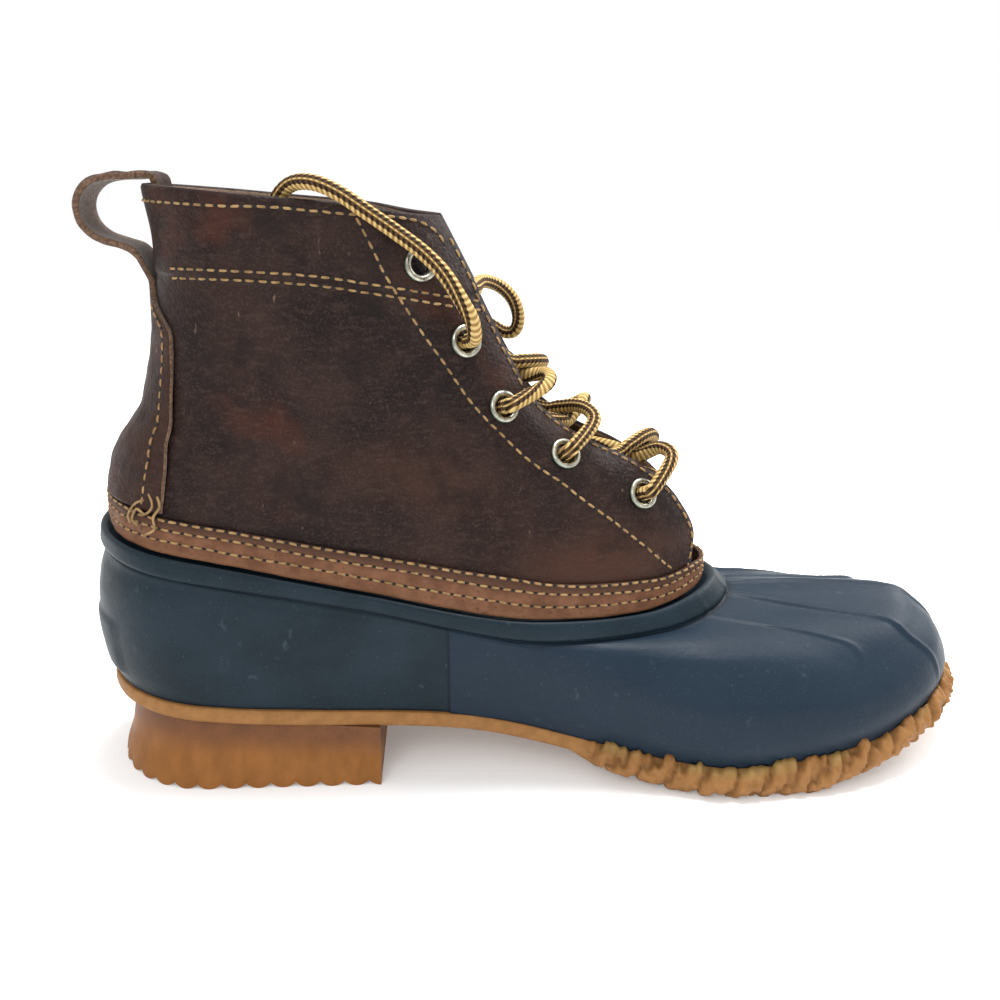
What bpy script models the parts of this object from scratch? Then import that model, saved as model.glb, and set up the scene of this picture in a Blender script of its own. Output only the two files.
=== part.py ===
"""Duck boot for the left foot: rubber lower, gum sole, leather upper, laced.

Metres, +Z up. The toe points to +X and the inner (medial) side faces -Y. The origin is the centre of
the heel's flat bottom. Heel and forefoot stand on the plane Z = 0.
"""

import math
from collections import namedtuple

import bmesh
import bpy
from mathutils import Vector

# Driving sizes
LAST_LENGTH = 0.286
BALL_WIDTH = 0.098
LIP_HEIGHT = 0.080
BOOT_HEIGHT = 0.181
BACK_TO_ORIGIN = 0.138

# Walls and clearances
RUBBER_WALL = 0.0022
LEATHER_WALL = 0.0020
FLANGE_WALL = 0.0012
CLEARANCE = 0.0003
SOLE_GAP = 0.0005
INSOLE_GAP = 0.0010
WELD = 0.000001

# Rubber details
BEAD_PROUD = 0.0020
LEDGE_DROP = 0.0006
CREST_RISE = 0.0045
CREST_HALF_WIDTH = 0.0180
RIB_HEIGHT = 0.0010
RIB_HALF_WIDTH = 0.0022
OVERLAY_STEP = 0.0006
OVERLAY_LINE = 0.388
OVERLAY_NICK = 0.0004
PAD_PROUD = 0.0006
TURNED_MARGIN = 0.012
FLANGE_HEIGHT = 0.008

# Leather details
CUFF_DEPTH = 0.0235
CUFF_PROUD = 0.0008
BAND_HEIGHT = 0.0105
BAND_WALL = 0.0014
BAND_ROUND = 0.0004
BAND_NARROWS = 0.35
STRAP_WIDTH = 0.0165
STRAP_WALL = 0.0020
LOOP_REACH = 0.0188
TONGUE_WALL = 0.0020

# Sole
PLATE_EDGE = 0.0050
EDGE_PROUD = 0.0012
CHAIN_PROUD = 0.0052
CHAIN_PITCH = 0.0088
CHAIN_SWELL = 0.0015
SCALLOP_PITCH = 0.0077
SCALLOP_DEPTH = 0.0015
LUG_DEPTH = 0.0022
LUG_PITCH = 0.0125
LUG_GROOVE = 0.0045
LUG_ZIGZAG = 0.0040
INSOLE_THICKNESS = 0.0045

# Eyelets and lace
EYELET_BORE = 0.0030
EYELET_BARREL = 0.0034
EYELET_FLANGE = 0.0050
EYELET_PLATE = 0.0007
EYELET_SEAT = 0.0006
EYELET_SIDES = 10
LACE_DIAMETER = 0.0044
BAR_SAG = 0.0010

COLOURS = {
    "rubber": ((0.022, 0.040, 0.075), 0.55, 0.0),
    "gum": ((0.47, 0.22, 0.07), 0.50, 0.0),
    "leather": ((0.085, 0.035, 0.022), 0.48, 0.0),
    "band_leather": ((0.17, 0.070, 0.034), 0.50, 0.0),
    "lining": ((0.22, 0.13, 0.08), 0.90, 0.0),
    "metal": ((0.72, 0.72, 0.66), 0.28, 1.0),
    "lace": ((0.55, 0.36, 0.10), 0.80, 0.0),
}

# Stations along a ring, as shares of its own length, where the tables give widths and heights
WIDTH_STATIONS = (0.15, 0.40, 0.70)
HEIGHT_STATIONS = (0.0, 0.15, 0.40, 0.70, 0.87, 1.0)
SWING_STATIONS = (0.0, 0.15, 0.40, 0.70, 1.0)
SWING = (0.0, 0.0, 0.045, 0.012, 0.0)

Ring = namedtuple(
    "Ring",
    "back front heel_round toe_round heel waist ball swing"
    " z_back z_heel z_waist z_ball z_toe z_tip line_a line_b lift_a lift_b",
)

# Rubber rings from the feather edge up to the lip. back, front and the rounds are shares of
# LAST_LENGTH, widths are half widths in shares of BALL_WIDTH, heights are shares of LIP_HEIGHT.
# line_a and line_b are the degrees round the toe where the inner and outer ribs cross the ring,
# and lift_a and lift_b how much of their height the ribs have there.
RUBBER = (
    Ring(0.007, 0.977, 0.119, 0.280, 0.342, 0.332, 0.490, 1.00,
         0.388, 0.335, 0.253, 0.116, 0.168, 0.287, 29, 63, 0.0, 0.0),
    Ring(-0.001, 0.979, 0.122, 0.280, 0.370, 0.367, 0.510, 1.00,
         0.487, 0.444, 0.356, 0.219, 0.256, 0.356, 29, 62, 0.2, 0.0),
    Ring(-0.004, 0.970, 0.124, 0.280, 0.386, 0.396, 0.500, 1.00,
         0.625, 0.569, 0.469, 0.338, 0.345, 0.440, 28, 60, 0.7, 0.0),
    Ring(-0.002, 0.945, 0.124, 0.272, 0.388, 0.408, 0.464, 0.90,
         0.750, 0.688, 0.569, 0.435, 0.435, 0.525, 29, 56, 1.0, 0.5),
    Ring(0.002, 0.912, 0.122, 0.262, 0.384, 0.408, 0.429, 0.80,
         0.838, 0.781, 0.644, 0.505, 0.500, 0.578, 27, 47, 1.0, 1.0),
    Ring(0.007, 0.802, 0.119, 0.266, 0.378, 0.404, 0.403, 0.70,
         0.894, 0.838, 0.688, 0.560, 0.570, 0.585, 16, 39, 1.0, 0.8),
    Ring(0.010, 0.715, 0.115, 0.262, 0.376, 0.398, 0.388, 0.60,
         0.938, 0.875, 0.750, 0.600, 0.590, 0.630, 11, 31, 0.6, 0.3),
    Ring(0.014, 0.691, 0.114, 0.259, 0.373, 0.394, 0.382, 0.60,
         1.012, 0.956, 0.819, 0.681, 0.665, 0.708, 9, 28, 0.0, 0.0),
)

# Ridge along the middle of the vamp on each rubber ring, as shares of CREST_RISE
CREST = (0.0, 0.0, 0.1, 0.3, 0.6, 1.0, 0.3, 0.0)

# Leather rings from the lip up to the rim. Heights are shares of the rise from lip to rim at the
# same station; line_a is the half gap of the throat in shares of BALL_WIDTH.
LEATHER = (
    Ring(0.023, 0.680, 0.108, 0.255, 0.350, 0.369, 0.361, 0.6,
         0.0, 0.0, 0.0, 0.0, 0.0, 0.0, 0.150, 0, 0, 0),
    Ring(0.023, 0.680, 0.108, 0.217, 0.343, 0.361, 0.339, 0.5,
         0.090, 0.097, 0.093, 0.095, 0.107, 0.150, 0.117, 0, 0, 0),
    Ring(0.031, 0.659, 0.105, 0.182, 0.321, 0.343, 0.310, 0.4,
         0.190, 0.198, 0.200, 0.203, 0.224, 0.265, 0.117, 0, 0, 0),
    Ring(0.045, 0.609, 0.101, 0.150, 0.302, 0.327, 0.292, 0.3,
         0.270, 0.290, 0.298, 0.310, 0.340, 0.372, 0.122, 0, 0, 0),
    Ring(0.065, 0.547, 0.100, 0.129, 0.291, 0.316, 0.286, 0.2,
         0.350, 0.372, 0.396, 0.413, 0.432, 0.442, 0.128, 0, 0, 0),
    Ring(0.077, 0.502, 0.098, 0.115, 0.286, 0.310, 0.282, 0.2,
         0.460, 0.473, 0.493, 0.517, 0.528, 0.527, 0.133, 0, 0, 0),
    Ring(0.086, 0.470, 0.098, 0.112, 0.286, 0.308, 0.282, 0.2,
         0.590, 0.604, 0.627, 0.649, 0.658, 0.655, 0.133, 0, 0, 0),
    Ring(0.090, 0.432, 0.098, 0.108, 0.291, 0.311, 0.286, 0.2,
         0.790, 0.802, 0.822, 0.839, 0.846, 0.841, 0.138, 0, 0, 0),
    Ring(0.084, 0.397, 0.100, 0.105, 0.296, 0.316, 0.292, 0.2,
         1.0, 1.0, 1.0, 1.0, 1.0, 1.0, 0.133, 0, 0, 0),
)
RIM = len(LEATHER) - 1
# Rim heights at the height stations, in shares of BOOT_HEIGHT
RIM_HEIGHTS = (1.0, 0.994, 0.983, 0.970, 0.956, 0.950)

# Eyelets from the top down: level on the leather rings, and inset from the throat edge in shares
# of BALL_WIDTH
EYELETS = ((7.20, 0.120), (6.25, 0.104), (5.10, 0.100), (3.75, 0.094), (2.45, 0.078))


# Underside of the forefoot: place in shares of LAST_LENGTH, height in shares of LIP_HEIGHT
TREAD_PLACES = (0.519, 0.540, 0.568, 0.610, 0.650, 0.775, 0.820, 0.876, 0.925, 0.949, 0.977)
TREAD_HEIGHTS = (0.130, 0.080, 0.050, 0.022, 0.0, 0.0, 0.034, 0.084, 0.138, 0.176, 0.215)

# Heel block from the floor up: height share, back in shares of LAST_LENGTH, half width in shares
# of BALL_WIDTH
HEEL_ROWS = ((0.0, 0.005, 0.368), (0.12, 0.007, 0.364), (0.42, 0.016, 0.337),
             (1.0, 0.023, 0.324))
HEEL_ROUND = 0.119
HEEL_BREAST = 0.311

# Middle line of the pull loop from inside the collar, over the rim and back to the shaft, as
# shares of LOOP_REACH behind the rim and above it
LOOP = ((0.27, -0.75), (0.24, -0.42), (0.20, -0.12), (0.165, 0.08), (0.04, 0.13), (-0.20, 0.11),
        (-0.50, 0.10), (-0.76, 0.03), (-0.94, -0.15), (-1.0, -0.37), (-0.94, -0.61),
        (-0.76, -0.79), (-0.50, -0.89), (-0.27, -0.97), (-0.15, -1.10))

# A strand from eyelet to eyelet: share of the way, height over the leather in shares of
# LACE_DIAMETER. The under strand dives first, the over strand later.
UNDER_STRAND = ((0.0, 0.5), (0.01, 1.1), (0.13, 1.65), (0.28, 1.1), (0.41, -0.7), (0.52, -0.92), (0.70, -1.06))
OVER_STRAND = ((0.0, 0.5), (0.01, 1.0), (0.14, 1.30), (0.32, 1.15), (0.48, 0.62), (0.61, -0.2), (0.73, -1.0))
EYELET_PASS = ((0.985, -1.02), (1.0, -0.45), (1.0, 0.0))

# Free ends of the lace from the second eyelets. The inner one goes up and over the rim into the
# shaft, the outer one loops forward and tucks under the inner quarter.
MEDIAL_END = (
    (0.0779, -0.0236, 0.1374), (0.0791, -0.0257, 0.1379), (0.0801, -0.0282, 0.1389),
    (0.0800, -0.0308, 0.1412), (0.0789, -0.0326, 0.1452), (0.0761, -0.0336, 0.1503),
    (0.0717, -0.0339, 0.1572), (0.0661, -0.0336, 0.1629), (0.0586, -0.0335, 0.1685),
    (0.0509, -0.0336, 0.1738), (0.0437, -0.0328, 0.1785), (0.0368, -0.0301, 0.1811),
    (0.0305, -0.0261, 0.1806), (0.0259, -0.0245, 0.1762), (0.0233, -0.0243, 0.1690),
    (0.0223, -0.0244, 0.1600), (0.0224, -0.0246, 0.1500),
)
LATERAL_END = (
    (0.0779, 0.0238, 0.1374), (0.0791, 0.0259, 0.1379), (0.0807, 0.0287, 0.1383),
    (0.0838, 0.0309, 0.1372), (0.0881, 0.0317, 0.1345), (0.0921, 0.0312, 0.1325),
    (0.0952, 0.0296, 0.1332), (0.0964, 0.0278, 0.1368), (0.0956, 0.0255, 0.1415),
    (0.0932, 0.0226, 0.1458), (0.0897, 0.0190, 0.1490), (0.0860, 0.0148, 0.1508),
    (0.0830, 0.0095, 0.1513), (0.0817, 0.0045, 0.1504), (0.0811, -0.0010, 0.1499),
    (0.0803, -0.0055, 0.1499), (0.0790, -0.0088, 0.1501), (0.0773, -0.0115, 0.1503),
)

# Columns of the leather's grid: 0 back, 1 side of heel, 2 toe round starts, 3 throat edge, 4 tip
QUARTER_COLUMNS = (tuple(i / 6 for i in range(6)) + tuple(1 + i / 7 for i in range(7))
                   + tuple(2 + i / 5 for i in range(6)))
TOE_COLUMNS = (2.0, 2.2, 2.4, 2.6, 2.8, 3.0, 3.15, 3.3, 3.45, 3.6, 3.75, 3.9, 4.0)
RING_COLUMNS = QUARTER_COLUMNS[:13] + TOE_COLUMNS
TONGUE_COLUMNS = (2.0, 2.1, 2.22, 2.6, 3.0, 3.4, 4.0)


def smooth(knots, values, at):
    """Reads a curve through the values that never overshoots them."""
    if at <= knots[0]:
        return values[0]
    if at >= knots[-1]:
        return values[-1]
    count = len(knots)
    steps = [(values[i + 1] - values[i]) / (knots[i + 1] - knots[i]) for i in range(count - 1)]
    slopes = [steps[0]]
    for before, after in zip(steps, steps[1:]):
        slopes.append(0.0 if before * after <= 0 else 2 * before * after / (before + after))
    slopes.append(steps[-1])
    i = max(k for k in range(count - 1) if knots[k] <= at)
    width = knots[i + 1] - knots[i]
    s = (at - knots[i]) / width
    return (
        (2 * s**3 - 3 * s**2 + 1) * values[i]
        + (s**3 - 2 * s**2 + s) * width * slopes[i]
        + (3 * s**2 - 2 * s**3) * values[i + 1]
        + (s**3 - s**2) * width * slopes[i + 1]
    )


def ring_at(rows, level):
    """The ring at a level between the rows of a table."""
    levels = tuple(range(len(rows)))
    return Ring(*(smooth(levels, column, level) for column in zip(*rows)))


def along(share):
    """X of a share of the last's length."""
    return (share - BACK_TO_ORIGIN) * LAST_LENGTH


def plan(ring, side, station):
    """Share along the ring, X and Y at a station: 0 back, 1 side of heel, 2 toe starts, 3 tip."""
    back = along(ring.back)
    front = along(ring.front)
    heel_round = ring.heel_round * LAST_LENGTH
    toe_round = ring.toe_round * LAST_LENGTH
    fullness = 1.0
    if station < 1:
        x = back + heel_round * (1 - math.cos(station * math.pi / 2))
        fullness = math.sin(station * math.pi / 2)
    elif station > 2:
        turn = (3 - station) * math.pi / 2
        x = front - toe_round * (1 - math.cos(turn))
        fullness = math.sin(turn)
    else:
        x = back + heel_round + (station - 1) * (front - toe_round - back - heel_round)
    share = (x - back) / (front - back)
    half = BALL_WIDTH * smooth(WIDTH_STATIONS, (ring.heel, ring.waist, ring.ball), share)
    centre = BALL_WIDTH * ring.swing * smooth(SWING_STATIONS, SWING, share)
    return share, x, centre + side * half * fullness


def ring_heights(ring):
    return (ring.z_back, ring.z_heel, ring.z_waist, ring.z_ball, ring.z_toe, ring.z_tip)


def rubber_point(level, side, station):
    ring = ring_at(RUBBER, level)
    share, x, y = plan(ring, side, station)
    z = LIP_HEIGHT * smooth(HEIGHT_STATIONS, ring_heights(ring), share)
    if station > 2:
        crest = CREST_RISE * smooth(tuple(range(len(CREST))), CREST, level)
        z += crest * max(0.0, 1 - abs(y) / CREST_HALF_WIDTH)
    return Vector((x, y, z))


def leather_point(level, side, station):
    ring = ring_at(LEATHER, level)
    share, x, y = plan(ring, side, station)
    low = LIP_HEIGHT * smooth(HEIGHT_STATIONS, ring_heights(RUBBER[-1]), share)
    high = BOOT_HEIGHT * smooth(HEIGHT_STATIONS, RIM_HEIGHTS, share)
    rise = smooth(HEIGHT_STATIONS, ring_heights(ring), share)
    return Vector((x, y, low + rise * (high - low)))


def outward(surface, level, side, station, top):
    """The surface's normal, away from the foot."""
    small = 0.02
    low = max(0.0, level - small)
    high = min(float(top), level + small)
    before = max(0.0, station - small)
    after = min(3.0, station + small)
    run = surface(level, side, after) - surface(level, side, before)
    if station <= small:
        run = surface(level, side, small) - surface(level, -side, small)
    elif station >= 3 - small:
        run = surface(level, -side, 3 - small) - surface(level, side, 3 - small)
    climb = surface(high, side, station) - surface(low, side, station)
    normal = run.cross(climb) * -side
    return normal.normalized()


def leather_skin(level, side, station, lift):
    level = min(max(level, 0.0), float(RIM))
    base = leather_point(level, side, station)
    return base + lift * outward(leather_point, level, side, station, RIM)


def rubber_skin(level, side, station, lift):
    base = rubber_point(level, side, station)
    return base + lift * outward(rubber_point, level, side, station, len(RUBBER) - 1)


def station_at_width(ring, wanted):
    """The station on the toe arc where the ring lies this far from its centre line."""
    half = BALL_WIDTH * smooth(WIDTH_STATIONS, (ring.heel, ring.waist, ring.ball), 0.9)
    return 3 - math.asin(min(0.98, wanted / half)) / (math.pi / 2)


def throat_station(level):
    ring = ring_at(LEATHER, level)
    return station_at_width(ring, ring.line_a * BALL_WIDTH)


def level_at_height(surface, side, station, height, top):
    """The level where the surface reaches a height at this station."""
    low, high = 0.0, float(top)
    for _ in range(30):
        middle = (low + high) / 2
        if surface(middle, side, station).z < height:
            low = middle
        else:
            high = middle
    return (low + high) / 2


def sole_line(x):
    """Height of the rubber's feather edge at X."""
    feather = RUBBER[0]
    share = (x - along(feather.back)) / (along(feather.front) - along(feather.back))
    return LIP_HEIGHT * smooth(HEIGHT_STATIONS, ring_heights(feather), share)


def finish(name, mesh_data, colour, flat=False, weld=False):
    """Makes the object, with its faces outwards and its own material."""
    points, faces = mesh_data
    mesh = bpy.data.meshes.new(name)
    mesh.from_pydata([tuple(p) for p in points], [], faces)
    work = bmesh.new()
    work.from_mesh(mesh)
    if weld:
        bmesh.ops.remove_doubles(work, verts=work.verts, dist=WELD)
    bmesh.ops.recalc_face_normals(work, faces=work.faces)
    work.to_mesh(mesh)
    work.free()
    obj = bpy.data.objects.new(name, mesh)
    bpy.context.scene.collection.objects.link(obj)
    material = bpy.data.materials.new(name)
    material.use_nodes = True
    shader = material.node_tree.nodes["Principled BSDF"]
    base, roughness, metallic = COLOURS[colour]
    shader.inputs["Base Color"].default_value = (*base, 1.0)
    shader.inputs["Roughness"].default_value = roughness
    shader.inputs["Metallic"].default_value = metallic
    mesh.materials.append(material)
    if not flat:
        mesh.shade_smooth()
        mesh.set_sharp_from_angle(angle=math.radians(40))
    return obj


def tube_of_loops(loops, closed_path, ends=(True, True)):
    """Joins equal loops one after another; an open path gets a cap of quads at the chosen ends."""
    size = len(loops[0])
    points = [p for loop in loops for p in loop]
    faces = []
    spans = len(loops) if closed_path else len(loops) - 1
    for i in range(spans):
        here = i * size
        there = (i + 1) % len(loops) * size
        for k in range(size):
            n = (k + 1) % size
            faces.append((here + k, here + n, there + n, there + k))
    if not closed_path:
        for wanted, start in zip(ends, (0, (len(loops) - 1) * size)):
            for k in range(size // 2 - 1 if wanted else 0):
                faces.append(
                    (start + k, start + k + 1, start + size - 2 - k, start + size - 1 - k)
                )
    return points, faces


def column_station(column, level):
    """Columns of the leather: 0 back, 1 side of heel, 2 toe round starts, 3 throat edge, 4 tip."""
    if column <= 2:
        return column
    edge = throat_station(level)
    if column <= 3:
        return 2 + (column - 2) * (edge - 2)
    return edge + (column - 3) * (3 - edge)


def leather_column(level, side, column, lift):
    return leather_skin(level, side, column_station(column, level), lift)


def both_sides(items):
    """From the back along the inner side to the tip, and home along the outer side."""
    inner = [(-1, item) for item in items]
    outer = [(1, item) for item in reversed(items[1:-1])]
    return inner + outer


def rubber_places(level):
    """Places round a rubber ring: station, rib lift 0 to 1, overlay 0 or 1, pad 0 or 1."""
    ring = ring_at(RUBBER, level)
    start = along(ring.back) + ring.heel_round * LAST_LENGTH
    end = along(ring.front) - ring.toe_round * LAST_LENGTH
    line = min(0.94, (along(OVERLAY_LINE) - start) / (end - start))
    nick = OVERLAY_NICK / (end - start)
    h = math.degrees(RIB_HALF_WIDTH / (BALL_WIDTH * ring.ball))
    a, b = ring.line_a, ring.line_b
    rest = (1 - line) / 3
    sides = (line / 3, 2 * line / 3, line - nick, line + nick, line + rest, line + 2 * rest)
    toe = (90, 60 + (b + h) / 3, 30 + 2 * (b + h) / 3, b + h, b, b - h,
           (a + b) / 2, a + h, a, a - h, a / 2, h, 0)
    lifts = (0, 0, 0, 0, ring.lift_b, 0, 0, 0, ring.lift_a, 0, 0, 0, ring.lift_a)
    even = max(0.0, level - 6.0)
    places = [(i / 6, 0.0, 0.0, 1.0 if i < 3 else 0.0) for i in range(7)]
    for i, side in enumerate(sides):
        station = 1 + side + even * ((i + 1) / 7 - side)
        places.append((station, 0.0, 1.0 if i > 2 else 0.0, 0.0))
    for column, degrees, lift in zip(TOE_COLUMNS, toe, lifts):
        station = 3 - degrees / 90
        lip = column_station(column, 0.0)
        places.append((station + even * (lip - station), lift, 1.0, 0.0))
    return places


def rubber_row(level, lift):
    """One ring of the shell's outer face."""
    pad_share = min(1.0, 2 * max(0.0, 1 - abs(level - 1.5) / 0.9))
    below_lip = 1.0 if level <= 6.0 else 0.0
    row = []
    for side, (station, rib, overlay, pad) in both_sides(rubber_places(level)):
        raised = RIB_HEIGHT * rib + OVERLAY_STEP * overlay * below_lip + PAD_PROUD * pad * pad_share
        row.append(rubber_skin(level, side, station, lift + raised))
    return row


def rubber_inside_row(level, depth):
    places = rubber_places(level)
    return [rubber_skin(level, side, place[0], -depth) for side, place in both_sides(places)]


def level_above_lip(side, column, height):
    """Leather level this far above the lip; in front the strip gets lower."""
    rise = height * (1 - BAND_NARROWS * max(0.0, min(1.0, column - 2.5)))
    goal = leather_point(0.0, side, column_station(column, 0.0)).z + rise
    low, high = 0.0, 4.0
    for _ in range(24):
        middle = (low + high) / 2
        if leather_point(middle, side, column_station(column, middle)).z < goal:
            low = middle
        else:
            high = middle
    return (low + high) / 2


def leather_ring_row(height, lift, drop=0.0):
    """A closed ring on the leather's surface at a height above the lip."""
    row = []
    for side, column in both_sides(RING_COLUMNS):
        level = level_above_lip(side, column, height) if height else 0.0
        row.append(leather_column(level, side, column, lift) - Vector((0.0, 0.0, drop)))
    return row


def flat_inset(row, distance, height_of):
    """A ring moved inwards in plan, with its height read again from a rule in X."""
    count = len(row)
    moved = []
    for i, p in enumerate(row):
        run = row[(i + 1) % count] - row[i - 1]
        inwards = Vector((-run.y, run.x, 0.0)).normalized()
        q = p + distance * inwards
        moved.append(Vector((q.x, q.y, height_of(q.x))))
    return moved


def make_rubber_shell():
    rows = [rubber_row(level, 0.0) for level in (0, 0.7, 1.5, 2.3, 3.1, 4, 5, 6)]
    for level, share in ((6.15, 0.6), (6.45, 1.0), (6.8, 0.95), (7.0, 0.45)):
        rows.append(rubber_row(level, BEAD_PROUD * share))
    seat = LEATHER_WALL + CLEARANCE
    rows.append(leather_ring_row(0.0, BAND_WALL + 2 * CLEARANCE, LEDGE_DROP))
    rows.append(leather_ring_row(0.0, -seat, LEDGE_DROP))
    rows.append(leather_ring_row(FLANGE_HEIGHT, -seat))
    rows.append(leather_ring_row(FLANGE_HEIGHT, -seat - FLANGE_WALL))
    rows.append(leather_ring_row(0.0, -seat - FLANGE_WALL, LEDGE_DROP))
    rows += [rubber_inside_row(level, RUBBER_WALL) for level in (6, 4.5, 2.7, 1)]
    feather = rubber_inside_row(0, 0.0)
    floor = lambda x: sole_line(x) + RUBBER_WALL
    rows.append(flat_inset(feather, RUBBER_WALL, floor))
    rows.append(flat_inset(feather, TURNED_MARGIN, floor))
    rows.append(flat_inset(feather, TURNED_MARGIN, sole_line))
    return finish("rubber_shell", tube_of_loops(rows, True), "rubber")


def leather_profile():
    """Levels and lifts of the upper's outer face, with the step of the cuff."""
    rim = leather_point(RIM, -1, 1.5).z
    cuff = level_at_height(leather_point, -1, 1.5, rim - CUFF_DEPTH, RIM)
    plain = [0.0, 0.6, 1.2, 2.0, 2.9, 3.9, 4.9, 6.0, cuff - 0.04]
    return [(level, 0.0) for level in plain] + [
        (cuff + 0.04, CUFF_PROUD),
        ((cuff + RIM) / 2, CUFF_PROUD),
        (RIM - 0.05, CUFF_PROUD),
        (RIM, CUFF_PROUD / 2),
    ]


def leather_row(level, lift):
    """A row from the inner throat edge round the back to the outer one."""
    inner = [leather_column(level, -1, column, lift) for column in reversed(QUARTER_COLUMNS)]
    outer = [leather_column(level, 1, column, lift) for column in QUARTER_COLUMNS[1:]]
    return inner + outer


def eyelet_place(level, inset, side):
    ring = ring_at(LEATHER, level)
    station = station_at_width(ring, (ring.line_a + inset) * BALL_WIDTH)
    normal = outward(leather_point, level, side, station, RIM)
    return leather_point(level, side, station), normal


def make_upper(cutter):
    outer = leather_profile()
    rows = [leather_row(level, lift) for level, lift in outer]
    rows += [leather_row(level, -LEATHER_WALL) for level, _ in reversed(outer)]
    loops = [[row[i] for row in rows] for i in range(len(rows[0]))]
    upper = finish("upper", tube_of_loops(loops, False), "leather")
    holes = upper.modifiers.new("eyelet_holes", "BOOLEAN")
    holes.operation = "DIFFERENCE"
    holes.solver = "EXACT"
    holes.object = cutter
    return upper


def turned(place, normal, profile, sides):
    """A profile of (radius, height) pairs turned about the normal at a place."""
    across = normal.orthogonal().normalized()
    other = normal.cross(across)
    loops = []
    for i in range(sides):
        angle = 2 * math.pi * i / sides
        spoke = math.cos(angle) * across + math.sin(angle) * other
        loops.append([place + radius * spoke + height * normal for radius, height in profile])
    return tube_of_loops(loops, True)


def make_eyelets():
    """Ten rings with a barrel through the leather, and the cutter of their holes."""
    points, faces = [], []
    for name, side in (("medial", -1), ("lateral", 1)):
        for number, (level, inset) in enumerate(EYELETS, start=1):
            place, normal = eyelet_place(level, inset, side)
            lift = CUFF_PROUD if number == 1 else 0.0
            face = lift + EYELET_SEAT
            profile = (
                (EYELET_BORE, face + EYELET_PLATE),
                (EYELET_FLANGE * 0.85, face + EYELET_PLATE),
                (EYELET_FLANGE, face),
                (EYELET_BARREL, face),
                (EYELET_BARREL, -LEATHER_WALL),
                (EYELET_BORE, -LEATHER_WALL),
            )
            finish(f"eyelet_{name}_{number}", turned(place, normal, profile, EYELET_SIDES), "metal")
            hole = EYELET_BARREL + CLEARANCE
            across = normal.orthogonal().normalized()
            other = normal.cross(across)
            start = len(points)
            for height in (-3 * LEATHER_WALL, 3 * LEATHER_WALL):
                for i in range(EYELET_SIDES):
                    angle = 2 * math.pi * i / EYELET_SIDES
                    spoke = math.cos(angle) * across + math.sin(angle) * other
                    points.append(place + hole * spoke + height * normal)
            ring = list(range(start, start + EYELET_SIDES))
            faces.append(tuple(reversed(ring)))
            faces.append(tuple(i + EYELET_SIDES for i in ring))
            for i, here in enumerate(ring):
                after = ring[(i + 1) % EYELET_SIDES]
                faces.append((here, after, after + EYELET_SIDES, here + EYELET_SIDES))
    cutter = finish("eyelet_hole_cutter", (points, faces), "metal", flat=True)
    cutter.hide_render = True
    cutter.display_type = "WIRE"
    return cutter


def make_seam_band():
    """Closed strip round the foot of the leather."""
    low = CLEARANCE
    high = CLEARANCE + BAND_WALL
    profile = ((0.03, high), (0.5, high), (0.94, high), (1.0, high - BAND_ROUND),
               (1.0, low), (0.5, low), (0.03, low))
    rows = [leather_ring_row(share * BAND_HEIGHT, lift) for share, lift in profile]
    return finish("seam_band", tube_of_loops(rows, True), "band_leather")


def tongue_point(level, side, column, depth):
    """The tongue runs under the throat and lifts to the quarters at its two sides."""
    beyond = max(0.0, min(1.0, (2.22 - column) / 0.22))
    low = max(0.0, min(1.0, 2.6 - level)) * (FLANGE_WALL + CLEARANCE)
    gutter = (LACE_DIAMETER + 4 * CLEARANCE) * (1 - beyond) * min(1.0, level / 2.0)
    inset = LEATHER_WALL + CLEARANCE + low + gutter + depth
    return leather_column(level, side, column, -inset)


def make_tongue():
    levels = [0.25 + 7.45 * i / 11 for i in range(12)]
    across = [(-1, c) for c in TONGUE_COLUMNS] + [(1, c) for c in reversed(TONGUE_COLUMNS[:-1])]
    loops = []
    for side, column in across:
        outer = [tongue_point(level, side, column, 0.0) for level in levels]
        inner = [tongue_point(level, side, column, TONGUE_WALL) for level in reversed(levels)]
        loops.append(outer + inner)
    return finish("tongue", tube_of_loops(loops, False), "leather")


def plan_normal(ring, side, station):
    """Unit vector out of the ring in plan."""
    small = 0.01
    before = plan(ring, side, max(0.0, station - small))
    after = plan(ring, side, min(3.0, station + small))
    run = Vector((after[1] - before[1], after[2] - before[2], 0.0))
    if station <= small:
        return Vector((-1.0, 0.0, 0.0))
    if station >= 3 - small:
        return Vector((1.0, 0.0, 0.0))
    return Vector((-side * run.y, side * run.x, 0.0)).normalized()


def tread_line(x):
    """Underside of the sole at X."""
    places = tuple(along(share) for share in TREAD_PLACES)
    if x < places[0]:
        return sole_line(x) - PLATE_EDGE
    heights = (sole_line(places[0]) - PLATE_EDGE,) + tuple(LIP_HEIGHT * h for h in TREAD_HEIGHTS[1:])
    return smooth(places, heights, x)


def sole_stations():
    """Stations of the sole's edge with their share of chain and of a lump."""
    feather = RUBBER[0]
    start = along(feather.back) + feather.heel_round * LAST_LENGTH
    end = along(feather.front) - feather.toe_round * LAST_LENGTH
    first = 1 + (along(TREAD_PLACES[1]) - start) / (end - start)
    stations = [(i / 6, 0.0, 0.0) for i in range(6)]
    stations += [(1 + (first - 1) * i / 5, 0.0, 0.0) for i in range(5)]
    fine = [first + (3 - first) * i / 300 for i in range(301)]
    run = [0.0]
    for before, after in zip(fine, fine[1:]):
        p = plan(feather, -1, before)
        q = plan(feather, -1, after)
        run.append(run[-1] + math.hypot(q[1] - p[1], q[2] - p[2]))
    lumps = 2 * round(run[-1] / CHAIN_PITCH)
    for i in range(lumps + 1):
        goal = run[-1] * i / lumps
        k = max(j for j in range(len(run)) if run[j] <= goal + WELD)
        stations.append((fine[k], 1.0, float(i % 2)))
    return stations


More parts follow.
